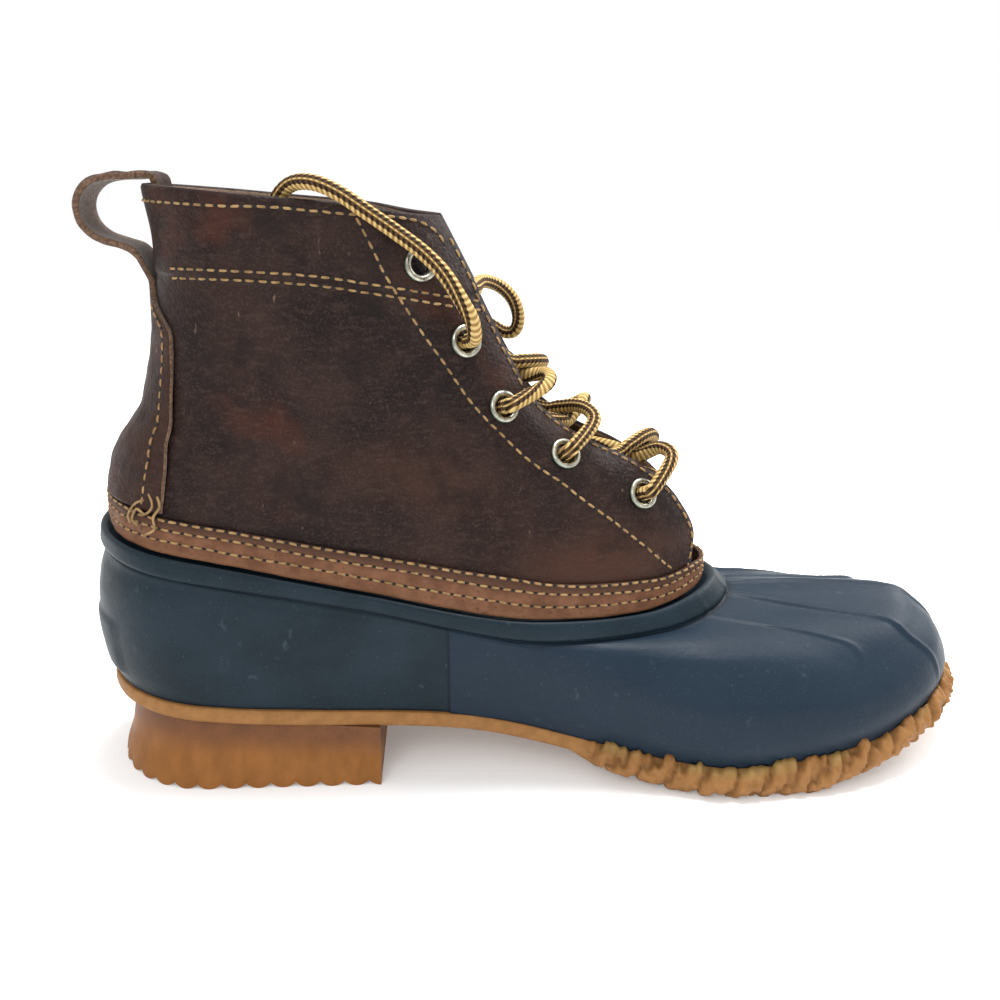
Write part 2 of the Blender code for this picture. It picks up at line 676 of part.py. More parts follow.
def make_outsole():
    feather = RUBBER[0]
    loops = []
    for station, chain, lump in sole_stations():
        halves = []
        for side in (-1, 1):
            _, x, y = plan(feather, side, station)
            normal = plan_normal(feather, side, station)
            top = sole_line(x) - SOLE_GAP
            bottom = tread_line(x)
            proud = EDGE_PROUD + chain * (CHAIN_PROUD - CHAIN_SWELL * (1 - lump) - EDGE_PROUD)
            rise = chain * CHAIN_SWELL * lump
            middle = (top + bottom) / 2
            shape = (
                (EDGE_PROUD * 0.6, top),
                (proud * 0.75, top + rise),
                (proud, middle + rise),
                (proud * (1 - 0.2 * chain), bottom + 0.2 * (top - bottom)),
                (proud * (1 - 0.75 * chain), bottom),
            )
            halves.append([Vector((x, y, z)) + out * normal for out, z in shape])
        loops.append(halves[0] + halves[1][::-1])
    sole = finish("outsole", tube_of_loops(loops, False, (False, False)), "gum", weld=True)
    grooves = sole.modifiers.new("tread", "BOOLEAN")
    grooves.operation = "DIFFERENCE"
    grooves.solver = "EXACT"
    grooves.object = make_tread_cutter()
    return sole


def make_tread_cutter():
    """Zigzag grooves across the forefoot."""
    points, faces = [], []
    first = along(TREAD_PLACES[3])
    count = int((along(TREAD_PLACES[8]) - first) / LUG_PITCH)
    for i in range(count):
        middle = first + (i + 0.5) * LUG_PITCH
        share = (middle - along(RUBBER[0].back)) / (along(RUBBER[0].front) - along(RUBBER[0].back))
        taper = math.sqrt(max(0.0, 1 - max(0.0, (share - 0.62) / 0.42) ** 2))
        reach = 0.40 * BALL_WIDTH * taper
        top = tread_line(middle) + LUG_DEPTH
        base = len(points)
        steps = 5
        for k in range(steps + 1):
            y = reach * (2 * k / steps - 1)
            x = middle + LUG_ZIGZAG * (0.5 - k % 2)
            for dx, z in ((-1, top), (1, top), (1, -LIP_HEIGHT), (-1, -LIP_HEIGHT)):
                points.append(Vector((x + dx * LUG_GROOVE / 2, y, z)))
        for k in range(steps):
            here, there = base + 4 * k, base + 4 * k + 4
            for n in range(4):
                m = (n + 1) % 4
                faces.append((here + n, here + m, there + m, there + n))
        faces.append((base, base + 1, base + 2, base + 3))
        end = base + 4 * steps
        faces.append((end + 3, end + 2, end + 1, end))
    cutter = finish("tread_cutter", (points, faces), "gum", flat=True)
    cutter.hide_render = True
    cutter.display_type = "WIRE"
    return cutter


def heel_point(row, side, place):
    """Edge of the heel block; place is 0 at the back, 1 where the side starts, 2 at the breast."""
    _, back_share, half_share = row
    back = along(back_share)
    heel_round = HEEL_ROUND * LAST_LENGTH
    half = half_share * BALL_WIDTH
    if place < 1:
        turn = place * math.pi / 2
        return back + heel_round * (1 - math.cos(turn)), side * half * math.sin(turn)
    start = back + heel_round
    return start + (place - 1) * (along(HEEL_BREAST) - start), side * half


def make_heel_block():
    arc = math.pi / 2 * (HEEL_ROUND * LAST_LENGTH + HEEL_ROWS[0][2] * BALL_WIDTH) / 2
    side_run = along(HEEL_BREAST) - along(HEEL_ROWS[0][1]) - HEEL_ROUND * LAST_LENGTH
    places = []
    arc_count = 2 * round(arc / SCALLOP_PITCH)
    side_count = 2 * round(side_run / SCALLOP_PITCH)
    places += [(i / arc_count, i % 2 == 1) for i in range(arc_count)]
    places += [(1 + i / side_count, i % 2 == 1) for i in range(side_count + 1)]
    loops = []
    for place, notch in places:
        halves = []
        for side in (-1, 1):
            half = []
            for row in reversed(HEEL_ROWS):
                x, y = heel_point(row, side, place)
                top = sole_line(x) - PLATE_EDGE - CLEARANCE
                z = row[0] * top
                if row[0] == 0.0 and notch:
                    z = SCALLOP_DEPTH
                half.append(Vector((x, y, z)))
            x, y = half[-1].x, half[-1].y
            inner = Vector((x + (along(BACK_TO_ORIGIN) - x) * 0.2 * (place < 1), y * 0.8, 0.0))
            halves.append(half + [inner])
        loops.append(halves[0] + halves[1][::-1])
    return finish("heel_block", tube_of_loops(loops, False, (False, True)), "gum", weld=True)


def make_insole():
    feather = RUBBER[0]
    inset = 2 * RUBBER_WALL + 2 * CLEARANCE
    loops = []
    stations = [i / 5 for i in range(6)] + [1 + i / 9 for i in range(1, 10)]
    for station in stations + [2 + i / 8 for i in range(1, 9)]:
        halves = []
        for side in (-1, 1):
            _, x, y = plan(feather, side, station)
            normal = plan_normal(feather, side, station)
            edge = Vector((x, y, 0.0)) - inset * normal
            base = sole_line(edge.x) + RUBBER_WALL + INSOLE_GAP
            low = Vector((edge.x, edge.y, base))
            high = Vector((edge.x, edge.y, base + INSOLE_THICKNESS)) - CLEARANCE * normal
            halves.append([high, low])
        loops.append(halves[0] + halves[1][::-1])
    return finish("insole", tube_of_loops(loops, False, (False, False)), "lining", weld=True)


def make_backstay_loop():
    """Strap from inside the collar, over the rim, out to the loop and down the back seam."""
    rim = leather_point(RIM, -1, 0.0)
    shares = (-1.0, -0.9, 0.0, 0.9, 1.0)
    heel_radius = LEATHER[RIM].heel * BALL_WIDTH
    loops = []
    line = [Vector((rim.x + LOOP_REACH * a, 0.0, rim.z + LOOP_REACH * b)) for a, b in LOOP]
    for i, centre in enumerate(line):
        run = line[min(i + 1, len(line) - 1)] - line[max(i - 1, 0)]
        normal = Vector((run.z, 0.0, -run.x)).normalized()
        away = max(0.0, min(1.0, (rim.x - centre.x) / LOOP_REACH))
        outer, inner = [], []
        for share in shares:
            y = share * STRAP_WIDTH / 2
            sag = (1 - 0.6 * away) * y * y / (2 * heel_radius)
            base = centre + Vector((sag, y, 0.0))
            outer.append(base - normal * STRAP_WALL / 2)
            inner.append(base + normal * STRAP_WALL / 2)
        loops.append(outer + inner[::-1])
    top = level_at_height(leather_point, -1, 0.0, rim.z - CUFF_DEPTH - 0.004, RIM)
    foot = level_above_lip(-1, 0.0, BAND_HEIGHT + 2 * CLEARANCE)
    between = [level for level, _ in leather_profile() if foot + 0.1 < level < top - 0.1]
    for level in [top] + between[::-1] + [foot]:
        half = BALL_WIDTH * ring_at(LEATHER, level).heel
        edge = math.asin(STRAP_WIDTH / 2 / half) / (math.pi / 2)
        outer, inner = [], []
        for share in shares:
            side = -1 if share < 0 else 1
            outer.append(leather_skin(level, side, abs(share) * edge, CLEARANCE))
            inner.append(leather_skin(level, side, abs(share) * edge, CLEARANCE + STRAP_WALL))
        loops.append(outer + inner[::-1])
    return finish("backstay_loop", tube_of_loops(loops, False), "leather")


def eyelet_column(level, inset):
    """The column of the leather's grid where an eyelet sits."""
    ring = ring_at(LEATHER, level)
    station = station_at_width(ring, (ring.line_a + inset) * BALL_WIDTH)
    return 2 + (station - 2) / (throat_station(level) - 2)


def strand(start, end, side, shape):
    """Route from the eyelet on this side to the one above it on the other side."""
    level_a, inset_a = EYELETS[start]
    level_b, inset_b = EYELETS[end]
    column_a = eyelet_column(level_a, inset_a)
    column_b = eyelet_column(level_b, inset_b)
    route = []
    for share, lift in shape + EYELET_PASS:
        level = level_a + share * (level_b - level_a)
        if share < 0.5:
            column = column_a + 2 * share * (4 - column_a)
            here = side
        else:
            column = 4 - 2 * (share - 0.5) * (4 - column_b)
            here = -side
        route.append(leather_column(level, here, column, lift * LACE_DIAMETER))
    return route


def lace_route():
    """From the second eyelet of the inner side down, across the foot of the throat and up."""
    bottom = len(EYELETS) - 1
    up_a, up_b = [], []
    for step, start in enumerate(range(bottom, 1, -1)):
        side = -1 if step % 2 == 0 else 1
        up_a += strand(start, start - 1, side, UNDER_STRAND)
        up_b += strand(start, start - 1, -side, OVER_STRAND)
    level, inset = EYELETS[bottom]
    column = eyelet_column(level, inset)
    bar = [leather_column(level, 1, column, 0.0)]
    under = EYELET_PASS[0][1] * LACE_DIAMETER
    through = EYELET_PASS[1][1] * LACE_DIAMETER
    bar.append(leather_column(level, 1, column, through))
    for side, col in ((1, column + 0.05), (1, 3.0), (1, 4.0), (-1, 3.0), (-1, column + 0.05)):
        sag = BAR_SAG if col >= 3 else 0.0
        bar.append(leather_column(level, side, col, under - sag))
    bar.append(leather_column(level, -1, column, through))
    bar.append(leather_column(level, -1, column, 0.0))
    return up_b[::-1] + bar + up_a


def smooth_route(points, spacing):
    """Reads points at an even spacing from a smooth curve through the route."""
    curve = []
    count = len(points)
    for i in range(count - 1):
        before = points[max(i - 1, 0)]
        after = points[min(i + 2, count - 1)]
        p, q = points[i], points[i + 1]
        for k in range(12):
            s = k / 12
            curve.append(0.5 * (2 * p + (q - before) * s + (2 * before - 5 * p + 4 * q - after) * s**2
                                + (3 * p - before - 3 * q + after) * s**3))
    curve.append(points[-1])
    length = sum((b - a).length for a, b in zip(curve, curve[1:]))
    steps = max(2, round(length / spacing))
    result = [curve[0]]
    run, goal = 0.0, length / steps
    for a, b in zip(curve, curve[1:]):
        piece = (b - a).length
        while run + piece >= goal - WELD and len(result) < steps:
            result.append(a + (b - a) * ((goal - run) / piece))
            goal += length / steps
        run += piece
    result.append(curve[-1])
    return result


def cord(name, points):
    """A round cord as a curve with filled ends."""
    curve = bpy.data.curves.new(name, "CURVE")
    curve.dimensions = "3D"
    curve.bevel_depth = LACE_DIAMETER / 2
    curve.bevel_resolution = 1
    curve.use_fill_caps = True
    spline = curve.splines.new("POLY")
    spline.points.add(len(points) - 1)
    for target, p in zip(spline.points, points):
        target.co = (*p, 1.0)
    obj = bpy.data.objects.new(name, curve)
    bpy.context.scene.collection.objects.link(obj)
    material = bpy.data.materials.new(name)
    material.use_nodes = True
    shader = material.node_tree.nodes["Principled BSDF"]
    base, roughness, _ = COLOURS["lace"]
    shader.inputs["Base Color"].default_value = (*base, 1.0)
    shader.inputs["Roughness"].default_value = roughness
    curve.materials.append(material)
    return obj


def make_lace():
    spacing = LACE_DIAMETER
    cord("lace_crossings", smooth_route(lace_route(), spacing))
    cord("lace_end_medial", smooth_route([Vector(p) for p in MEDIAL_END], spacing))
    cord("lace_end_lateral", smooth_route([Vector(p) for p in LATERAL_END], spacing))


def clear_scene():
    for obj in list(bpy.data.objects):
        bpy.data.objects.remove(obj)


def main():
    clear_scene()
    make_rubber_shell()
    cutter = make_eyelets()
    make_upper(cutter)
    make_seam_band()
    make_tongue()
    make_outsole()
    make_heel_block()
    make_insole()
    make_backstay_loop()
    make_lace()


main()
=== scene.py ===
"""Looks of the duck boot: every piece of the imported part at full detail, with its materials.

Metres, +Z up, toe to +X, inner side to -Y, as in the part. The sizes, tables and surface rules of
the boot are repeated from part.py, here for whole arrays of points at once.
"""

import math
from collections import namedtuple

import bmesh
import bpy
import numpy as np
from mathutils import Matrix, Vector


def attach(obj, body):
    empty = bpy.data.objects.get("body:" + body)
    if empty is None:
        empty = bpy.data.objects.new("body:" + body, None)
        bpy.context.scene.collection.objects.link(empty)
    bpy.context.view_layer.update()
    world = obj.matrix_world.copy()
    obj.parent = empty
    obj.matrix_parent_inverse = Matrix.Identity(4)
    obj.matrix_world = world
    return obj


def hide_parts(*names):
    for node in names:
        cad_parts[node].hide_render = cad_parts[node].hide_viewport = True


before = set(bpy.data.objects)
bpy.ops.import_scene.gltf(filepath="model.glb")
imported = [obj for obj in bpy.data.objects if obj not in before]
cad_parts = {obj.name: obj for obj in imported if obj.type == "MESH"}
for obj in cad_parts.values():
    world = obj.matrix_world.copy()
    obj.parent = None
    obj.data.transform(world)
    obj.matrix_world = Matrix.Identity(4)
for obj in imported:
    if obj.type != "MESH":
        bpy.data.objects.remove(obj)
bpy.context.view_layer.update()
RANDOM = np.random.default_rng(7)
KNOB_SIZES, KNOB_RISES, KNOB_TINTS = np.random.default_rng(23).uniform(0, 1, (3, 61))

# Sizes of the part
LAST_LENGTH = 0.286
BALL_WIDTH = 0.098
LIP_HEIGHT = 0.080
BOOT_HEIGHT = 0.181
BACK_TO_ORIGIN = 0.138
RUBBER_WALL = 0.0022
LEATHER_WALL = 0.0020
FLANGE_WALL = 0.0012
CLEARANCE = 0.0003
BEAD_PROUD = 0.0020
CREST_RISE = 0.0045
CREST_HALF_WIDTH = 0.0180
RIB_HEIGHT = 0.0009
RIB_HALF_WIDTH = 0.0021
OVERLAY_STEP = 0.0005
OVERLAY_LINE = 0.388
PAD_PROUD = 0.0007
TURNED_MARGIN = 0.012
FLANGE_HEIGHT = 0.008
CUFF_DEPTH = 0.0235
CUFF_PROUD = 0.0006
BAND_HEIGHT = 0.0105
BAND_WALL = 0.0014
BAND_NARROWS = 0.35
STRAP_WIDTH = 0.0165
STRAP_WALL = 0.0020
STAY_WALL = 0.0014
LOOP_REACH = 0.0188
TONGUE_WALL = 0.0020
SOLE_GAP = 0.0002
PLATE_EDGE = 0.0050
EDGE_PROUD = 0.0012
CHAIN_PROUD = 0.0054
CHAIN_PITCH = 0.0088
CHAIN_RISE = 0.0040
CHAIN_SCALLOP = 0.0017
CHAIN_LEAN = 0.75
CHAIN_DIP = 0.20
SCALLOP_PITCH = 0.0077
SCALLOP_DEPTH = 0.0015
FLUTE_DEPTH = 0.0006
LUG_DEPTH = 0.0022
LUG_PITCH = 0.0125
LUG_GROOVE = 0.0045
LUG_ZIGZAG = 0.0040
ZIGZAG_LENGTH = 0.026
CREPE_GRAIN = 0.0004
HEEL_GAP = 0.0001
LUG_BEVEL = 0.0004
CHAIN_STARTS = (-0.002, 0.006)
INSOLE_THICKNESS = 0.0045
INSOLE_GAP = 0.0010
INSOLE_CUP = 0.0006
EYELET_BORE = 0.0030
EYELET_BARREL = 0.0034
EYELET_FLANGE = 0.0050
EYELET_ROLL = ((0.0031, 0.0005), (0.0034, 0.0009), (0.0038, 0.0011), (0.0043, 0.00105),
               (0.0047, 0.0008), (0.00495, 0.0004), (EYELET_FLANGE, 0.0), (0.0048, -0.0002))
EYELET_CLINCH = ((0.0042, 0.0003), (0.0041, 0.0007), (0.0034, 0.0006))
CUTTER_REACH = 0.006
LACE_DIAMETER = 0.0044
BAR_SAG = 0.0010

# Relief of the rubber lower; levels count the rings upwards, 7 at the top of the lip
OVERLAY_T = 1.5
OVERLAY_EDGE = 0.0015
NEAR_OVERLAY = np.array((-0.030, -0.016, -0.008, -0.004, -0.0015, 0.0015, 0.004, 0.008, 0.016, 0.030))
LIP_LEVELS = (5.80, 5.88, 5.94, 5.99, 6.03, 6.07, 6.12, 6.2, 6.32, 6.5, 6.68, 6.8, 6.88, 6.94, 6.98, 7.0)
BEAD_PROFILE = ((5.95, 0), (6.0, 0.1), (6.07, 0.7), (6.2, 0.88), (6.5, 1.0), (6.8, 0.98), (6.92, 0.85),
                (7.0, 0.5))
LIP_CREASE = 0.00045
LIP_LINE = 0.00022
RUBBER_WAVES = 0.00018

# Relief of leather and lace
EDGE_ROUNDING = 0.0008
STAY_BELOW_CUFF = 0.004
LEATHER_BUCKLES = 0.00055
FACING_CREASES = 0.00035
BAND_PUFF = 0.00028
BAND_WAVES = 0.00016
WORN_EDGE = 0.00018
TONGUE_WAVES = 0.0003
LACE_RELIEF = 0.015

# Stitches and braid
STITCH_PITCH = 0.0035
STITCH_LENGTH = 0.0025
THREAD_RADIUS = 0.00038
HOLE_LENGTH = 0.0014
HOLE_RADIUS = 0.00056
BRAID_PITCH = 0.0017
BRAID_SLANT = 0.8
DARK_STRIPE = (0.10, 0.15, 0.60, 0.68)
FRONT_ROW_INSET = 0.0022
STAY_ROW = 0.84
LOOSE_LIFT = 0.0032
BAND_ROWS = ((0.96, 0.0), (0.72, 0.4), (0.38, 0.2))

# Camera: the photograph's frame is 1000 pixels wide
FRAME_PIXELS = 1000
FOCAL_PIXELS = 1025.0
SENSOR_MM = 36.0
CAMERA_PLACE = Vector((0.072, -0.320, 0.180))
CAMERA_AZIMUTH = 3.0
CAMERA_PITCH = 17.0

# Lamps: name, place, aim, size in metres and power in watts
LAMPS = (
    ("overhead", (0.22, 0.12, 1.00), (0.12, 0.0, 0.05), 0.4, 13.0),
    ("front_left", (-0.35, -1.00, 0.85), (0.08, 0.0, 0.06), 0.5, 4.0),
    ("right_back", (0.95, 0.45, 0.60), (0.10, 0.0, 0.06), 0.5, 6.0),
)

# Stitch lines, the back strap's edge and thread ends on the inner quarter, in the photograph's pixels
TOP_LINE = ((144, 200), (203, 205), (270, 207), (347, 214), (395, 217), (420, 222), (437, 233), (446, 247))
CUFF_LINE = ((170, 269), (232, 271), (299, 275), (336, 279), (382, 286), (432, 294), (486, 302))
FACING_LINE = ((356, 217), (373, 250), (384, 273), (402, 302), (423, 334), (444, 363), (470, 401),
               (495, 428), (507, 440), (550, 475), (593, 507), (637, 540), (662, 561), (673, 570))
CUFF_ROW_STEP = 9
STAY_EDGE = ((169, 288), (173, 332), (175, 370), (175, 409), (172, 437), (168, 470), (165, 499))
LOOSE_ENDS = (((152, 494), (156, 506), (150, 513), (143, 508), (140, 517), (146, 523)),
              ((160, 497), (163, 507), (158, 516), (160, 527), (153, 532)),
              ((148, 500), (141, 503), (136, 512), (139, 520)))

# Rings of the two skins, from the sole and from the lip upwards. Places along the boot are shares of
# its length from the back, widths are half widths as shares of the ball's width, heights are shares
# of the lip's height (rubber) or of the way from lip to rim (leather). line_a and line_b are the ribs'
# bearings in degrees from the tip; in the leather, line_a is the throat's half width.
WIDTH_STATIONS = (0.15, 0.40, 0.70)
HEIGHT_STATIONS = (0.0, 0.15, 0.40, 0.70, 0.87, 1.0)
SWING_STATIONS = (0.0, 0.15, 0.40, 0.70, 1.0)
SWING = (0.0, 0.0, 0.045, 0.012, 0.0)
Ring = namedtuple(
    "Ring",
    "back front heel_round toe_round heel waist ball swing"
    " z_back z_heel z_waist z_ball z_toe z_tip line_a line_b lift_a lift_b",
)
RUBBER = (
    Ring(0.007, 0.977, 0.119, 0.280, 0.342, 0.332, 0.490, 1.00,
         0.388, 0.335, 0.253, 0.116, 0.168, 0.287, 29, 63, 0.0, 0.0),
    Ring(-0.001, 0.979, 0.122, 0.280, 0.370, 0.367, 0.510, 1.00,
         0.487, 0.444, 0.356, 0.219, 0.256, 0.356, 29, 62, 0.2, 0.0),
    Ring(-0.004, 0.970, 0.124, 0.280, 0.386, 0.396, 0.500, 1.00,
         0.625, 0.569, 0.469, 0.338, 0.345, 0.440, 28, 60, 0.7, 0.0),
    Ring(-0.002, 0.945, 0.124, 0.272, 0.388, 0.408, 0.464, 0.90,
         0.750, 0.688, 0.569, 0.435, 0.435, 0.525, 29, 52, 1.0, 0.0),
    Ring(0.002, 0.912, 0.122, 0.262, 0.384, 0.408, 0.429, 0.80,
         0.838, 0.781, 0.644, 0.505, 0.500, 0.578, 26, 46, 1.0, 0.45),
    Ring(0.007, 0.802, 0.119, 0.266, 0.378, 0.404, 0.403, 0.70,
         0.894, 0.838, 0.688, 0.560, 0.570, 0.585, 18, 39, 1.0, 0.8),
    Ring(0.010, 0.715, 0.115, 0.262, 0.376, 0.398, 0.388, 0.60,
         0.938, 0.875, 0.750, 0.600, 0.590, 0.630, 11, 31, 0.6, 0.3),
    Ring(0.014, 0.691, 0.114, 0.259, 0.373, 0.394, 0.382, 0.60,
         1.012, 0.956, 0.819, 0.681, 0.665, 0.708, 9, 28, 0.0, 0.0),
)
LIP = len(RUBBER) - 1
CREST = (0.0, 0.0, 0.1, 0.3, 0.6, 1.0, 0.3, 0.0)
LEATHER = (
    Ring(0.023, 0.680, 0.108, 0.255, 0.350, 0.369, 0.361, 0.6,
         0.0, 0.0, 0.0, 0.0, 0.0, 0.0, 0.150, 0, 0, 0),
    Ring(0.023, 0.680, 0.108, 0.217, 0.343, 0.361, 0.339, 0.5,
         0.090, 0.097, 0.093, 0.095, 0.107, 0.150, 0.117, 0, 0, 0),
    Ring(0.031, 0.659, 0.105, 0.182, 0.321, 0.343, 0.310, 0.4,
         0.190, 0.198, 0.200, 0.203, 0.224, 0.265, 0.117, 0, 0, 0),
    Ring(0.045, 0.609, 0.101, 0.150, 0.302, 0.327, 0.292, 0.3,
         0.270, 0.290, 0.298, 0.310, 0.340, 0.372, 0.122, 0, 0, 0),
    Ring(0.065, 0.547, 0.100, 0.129, 0.291, 0.316, 0.286, 0.2,
         0.350, 0.372, 0.396, 0.413, 0.432, 0.442, 0.128, 0, 0, 0),
    Ring(0.077, 0.502, 0.098, 0.115, 0.286, 0.310, 0.282, 0.2,
         0.460, 0.473, 0.493, 0.517, 0.528, 0.527, 0.133, 0, 0, 0),
    Ring(0.086, 0.470, 0.098, 0.112, 0.286, 0.308, 0.282, 0.2,
         0.590, 0.604, 0.627, 0.649, 0.658, 0.655, 0.133, 0, 0, 0),
    Ring(0.090, 0.432, 0.098, 0.108, 0.291, 0.311, 0.286, 0.2,
         0.790, 0.802, 0.822, 0.839, 0.846, 0.841, 0.138, 0, 0, 0),
    Ring(0.084, 0.397, 0.100, 0.105, 0.296, 0.316, 0.292, 0.2,
         1.0, 1.0, 1.0, 1.0, 1.0, 1.0, 0.133, 0, 0, 0),
)
RIM = len(LEATHER) - 1
RIM_HEIGHTS = (1.0, 0.994, 0.983, 0.970, 0.956, 0.950)
# Eyelets as (level, inset from the throat's edge); treads and heel as (share, height or half width)
EYELETS = ((7.20, 0.120), (6.25, 0.104), (5.10, 0.100), (3.75, 0.094), (2.45, 0.078))
TREAD_PLACES = (0.519, 0.540, 0.568, 0.610, 0.650, 0.775, 0.820, 0.876, 0.925, 0.949, 0.977)
TREAD_HEIGHTS = (0.130, 0.080, 0.050, 0.022, 0.0, 0.0, 0.034, 0.084, 0.138, 0.176, 0.215)
HEEL_ROWS = ((0.0, 0.005, 0.368), (0.12, 0.007, 0.364), (0.42, 0.016, 0.337),
             (1.0, 0.023, 0.324))
HEEL_ROUND = 0.119
HEEL_BREAST = 0.311
# The pull loop in reaches from the rim; strands of lace as (share of the way, lift in diameters)
LOOP = ((0.27, -0.75), (0.24, -0.42), (0.20, -0.12), (0.165, 0.08), (0.04, 0.13), (-0.20, 0.11),
        (-0.50, 0.10), (-0.76, 0.03), (-0.94, -0.15), (-1.0, -0.37), (-0.94, -0.61),
        (-0.76, -0.79), (-0.50, -0.89), (-0.27, -0.97), (-0.15, -1.10))
UNDER_STRAND = ((0.0, 0.5), (0.01, 1.1), (0.13, 1.65), (0.28, 1.1), (0.41, -0.7), (0.52, -0.92),
                (0.70, -1.06))
OVER_STRAND = ((0.0, 0.5), (0.01, 1.0), (0.14, 1.30), (0.32, 1.15), (0.48, 0.62), (0.61, -0.2),
               (0.73, -1.0))
EYELET_PASS = ((0.985, -1.02), (1.0, -0.45), (1.0, 0.0))
# Routes of the lace's two free ends, as in the part
MEDIAL_END = (
    (0.0779, -0.0236, 0.1374), (0.0791, -0.0257, 0.1379), (0.0801, -0.0282, 0.1389),
    (0.0800, -0.0308, 0.1412), (0.0789, -0.0326, 0.1452), (0.0761, -0.0336, 0.1503),
    (0.0717, -0.0339, 0.1572), (0.0661, -0.0336, 0.1629), (0.0586, -0.0335, 0.1685),
    (0.0509, -0.0336, 0.1738), (0.0437, -0.0328, 0.1785), (0.0368, -0.0301, 0.1811),
    (0.0305, -0.0261, 0.1806), (0.0259, -0.0245, 0.1762), (0.0233, -0.0243, 0.1690),
    (0.0223, -0.0244, 0.1600), (0.0224, -0.0246, 0.1500),
)
LATERAL_END = (
    (0.0779, 0.0238, 0.1374), (0.0791, 0.0259, 0.1379), (0.0807, 0.0287, 0.1383),
    (0.0838, 0.0309, 0.1372), (0.0881, 0.0317, 0.1345), (0.0921, 0.0312, 0.1325),
    (0.0952, 0.0296, 0.1332), (0.0964, 0.0278, 0.1368), (0.0956, 0.0255, 0.1415),
    (0.0932, 0.0226, 0.1458), (0.0897, 0.0190, 0.1490), (0.0860, 0.0148, 0.1508),
    (0.0830, 0.0095, 0.1513), (0.0817, 0.0045, 0.1504), (0.0811, -0.0010, 0.1499),
    (0.0803, -0.0055, 0.1499), (0.0790, -0.0088, 0.1501), (0.0773, -0.0115, 0.1503),
)


# Surfaces, as in the part
def smooth(knots, values, at):
    """Reads curves through the values that never overshoot them, at every place in an array."""
    at = np.clip(np.asarray(at, float), knots[0], knots[-1])
    knots = np.asarray(knots, float)
    table = np.array([np.broadcast_to(value, at.shape) for value in values], float)
    width = np.diff(knots).reshape((-1,) + (1,) * at.ndim)
    steps = np.diff(table, axis=0) / width
    product = steps[:-1] * steps[1:]
    total = np.where(product > 0, steps[:-1] + steps[1:], 1.0)
    slopes = np.concatenate([steps[:1], np.where(product > 0, 2 * product / total, 0), steps[-1:]])
    i = np.clip(np.searchsorted(knots, at, side="right") - 1, 0, len(knots) - 2)
    w = knots[i + 1] - knots[i]
    s = (at - knots[i]) / w
    pick = lambda grid, k: np.take_along_axis(grid, np.asarray(k)[None], 0)[0]
    return (
        (2 * s**3 - 3 * s**2 + 1) * pick(table, i)
        + (s**3 - 2 * s**2 + s) * w * pick(slopes, i)
        + (3 * s**2 - 2 * s**3) * pick(table, i + 1)
        + (s**3 - s**2) * w * pick(slopes, i + 1)
    )


def bell(at, centre, width):
    """A smooth bump, 1 at the centre and near 0 two widths away."""
    return np.exp(-((at - centre) / width) ** 2)


def ease(at, low, high):
    """0 below low, 1 above high, and a soft step between."""
    s = np.clip((np.asarray(at, float) - low) / (high - low), 0, 1)
    return s * s * (3 - 2 * s)


def ring_at(rows, level):
    return Ring(*(smooth(range(len(rows)), column, level) for column in zip(*rows)))


def along(share):
    return (share - BACK_TO_ORIGIN) * LAST_LENGTH


def plan(ring, side, station):
    station = np.asarray(station, float)
    back, front = along(ring.back), along(ring.front)
    heel_round, toe_round = ring.heel_round * LAST_LENGTH, ring.toe_round * LAST_LENGTH
    early = np.clip(station, 0, 1) * math.pi / 2
    late = (3 - np.clip(station, 2, 3)) * math.pi / 2
    x_side = back + heel_round + (station - 1) * (front - toe_round - back - heel_round)
    x = np.where(station < 1, back + heel_round * (1 - np.cos(early)),
                 np.where(station > 2, front - toe_round * (1 - np.cos(late)), x_side))
    fullness = np.where(station < 1, np.sin(early), np.where(station > 2, np.sin(late), 1.0))
    share = (x - back) / (front - back)
    half = BALL_WIDTH * smooth(WIDTH_STATIONS, (ring.heel, ring.waist, ring.ball), share)
    centre = BALL_WIDTH * ring.swing * smooth(SWING_STATIONS, SWING, share)
    return share, x, centre + side * half * fullness


def ring_heights(ring):
    return (ring.z_back, ring.z_heel, ring.z_waist, ring.z_ball, ring.z_toe, ring.z_tip)


def rubber_point(level, side, station):
    share, x, y = plan(ring_at(RUBBER, level), side, station)
    z = LIP_HEIGHT * smooth(HEIGHT_STATIONS, ring_heights(ring_at(RUBBER, level)), share)
    crest = CREST_RISE * smooth(range(len(CREST)), CREST, level)
    roof = np.cos(np.clip(np.abs(y) / CREST_HALF_WIDTH, 0, 1) * math.pi / 2) ** 2
    return np.stack(np.broadcast_arrays(x, y, z + crest * roof * (station > 2)), -1)


def leather_point(level, side, station):
    share, x, y = plan(ring_at(LEATHER, level), side, station)
    low = LIP_HEIGHT * smooth(HEIGHT_STATIONS, ring_heights(RUBBER[-1]), share)
    high = BOOT_HEIGHT * smooth(HEIGHT_STATIONS, RIM_HEIGHTS, share)
    rise = smooth(HEIGHT_STATIONS, ring_heights(ring_at(LEATHER, level)), share)
    return np.stack(np.broadcast_arrays(x, y, low + rise * (high - low)), -1)


def unit(vectors):
    return vectors / np.maximum(np.linalg.norm(vectors, axis=-1, keepdims=True), 1e-12)


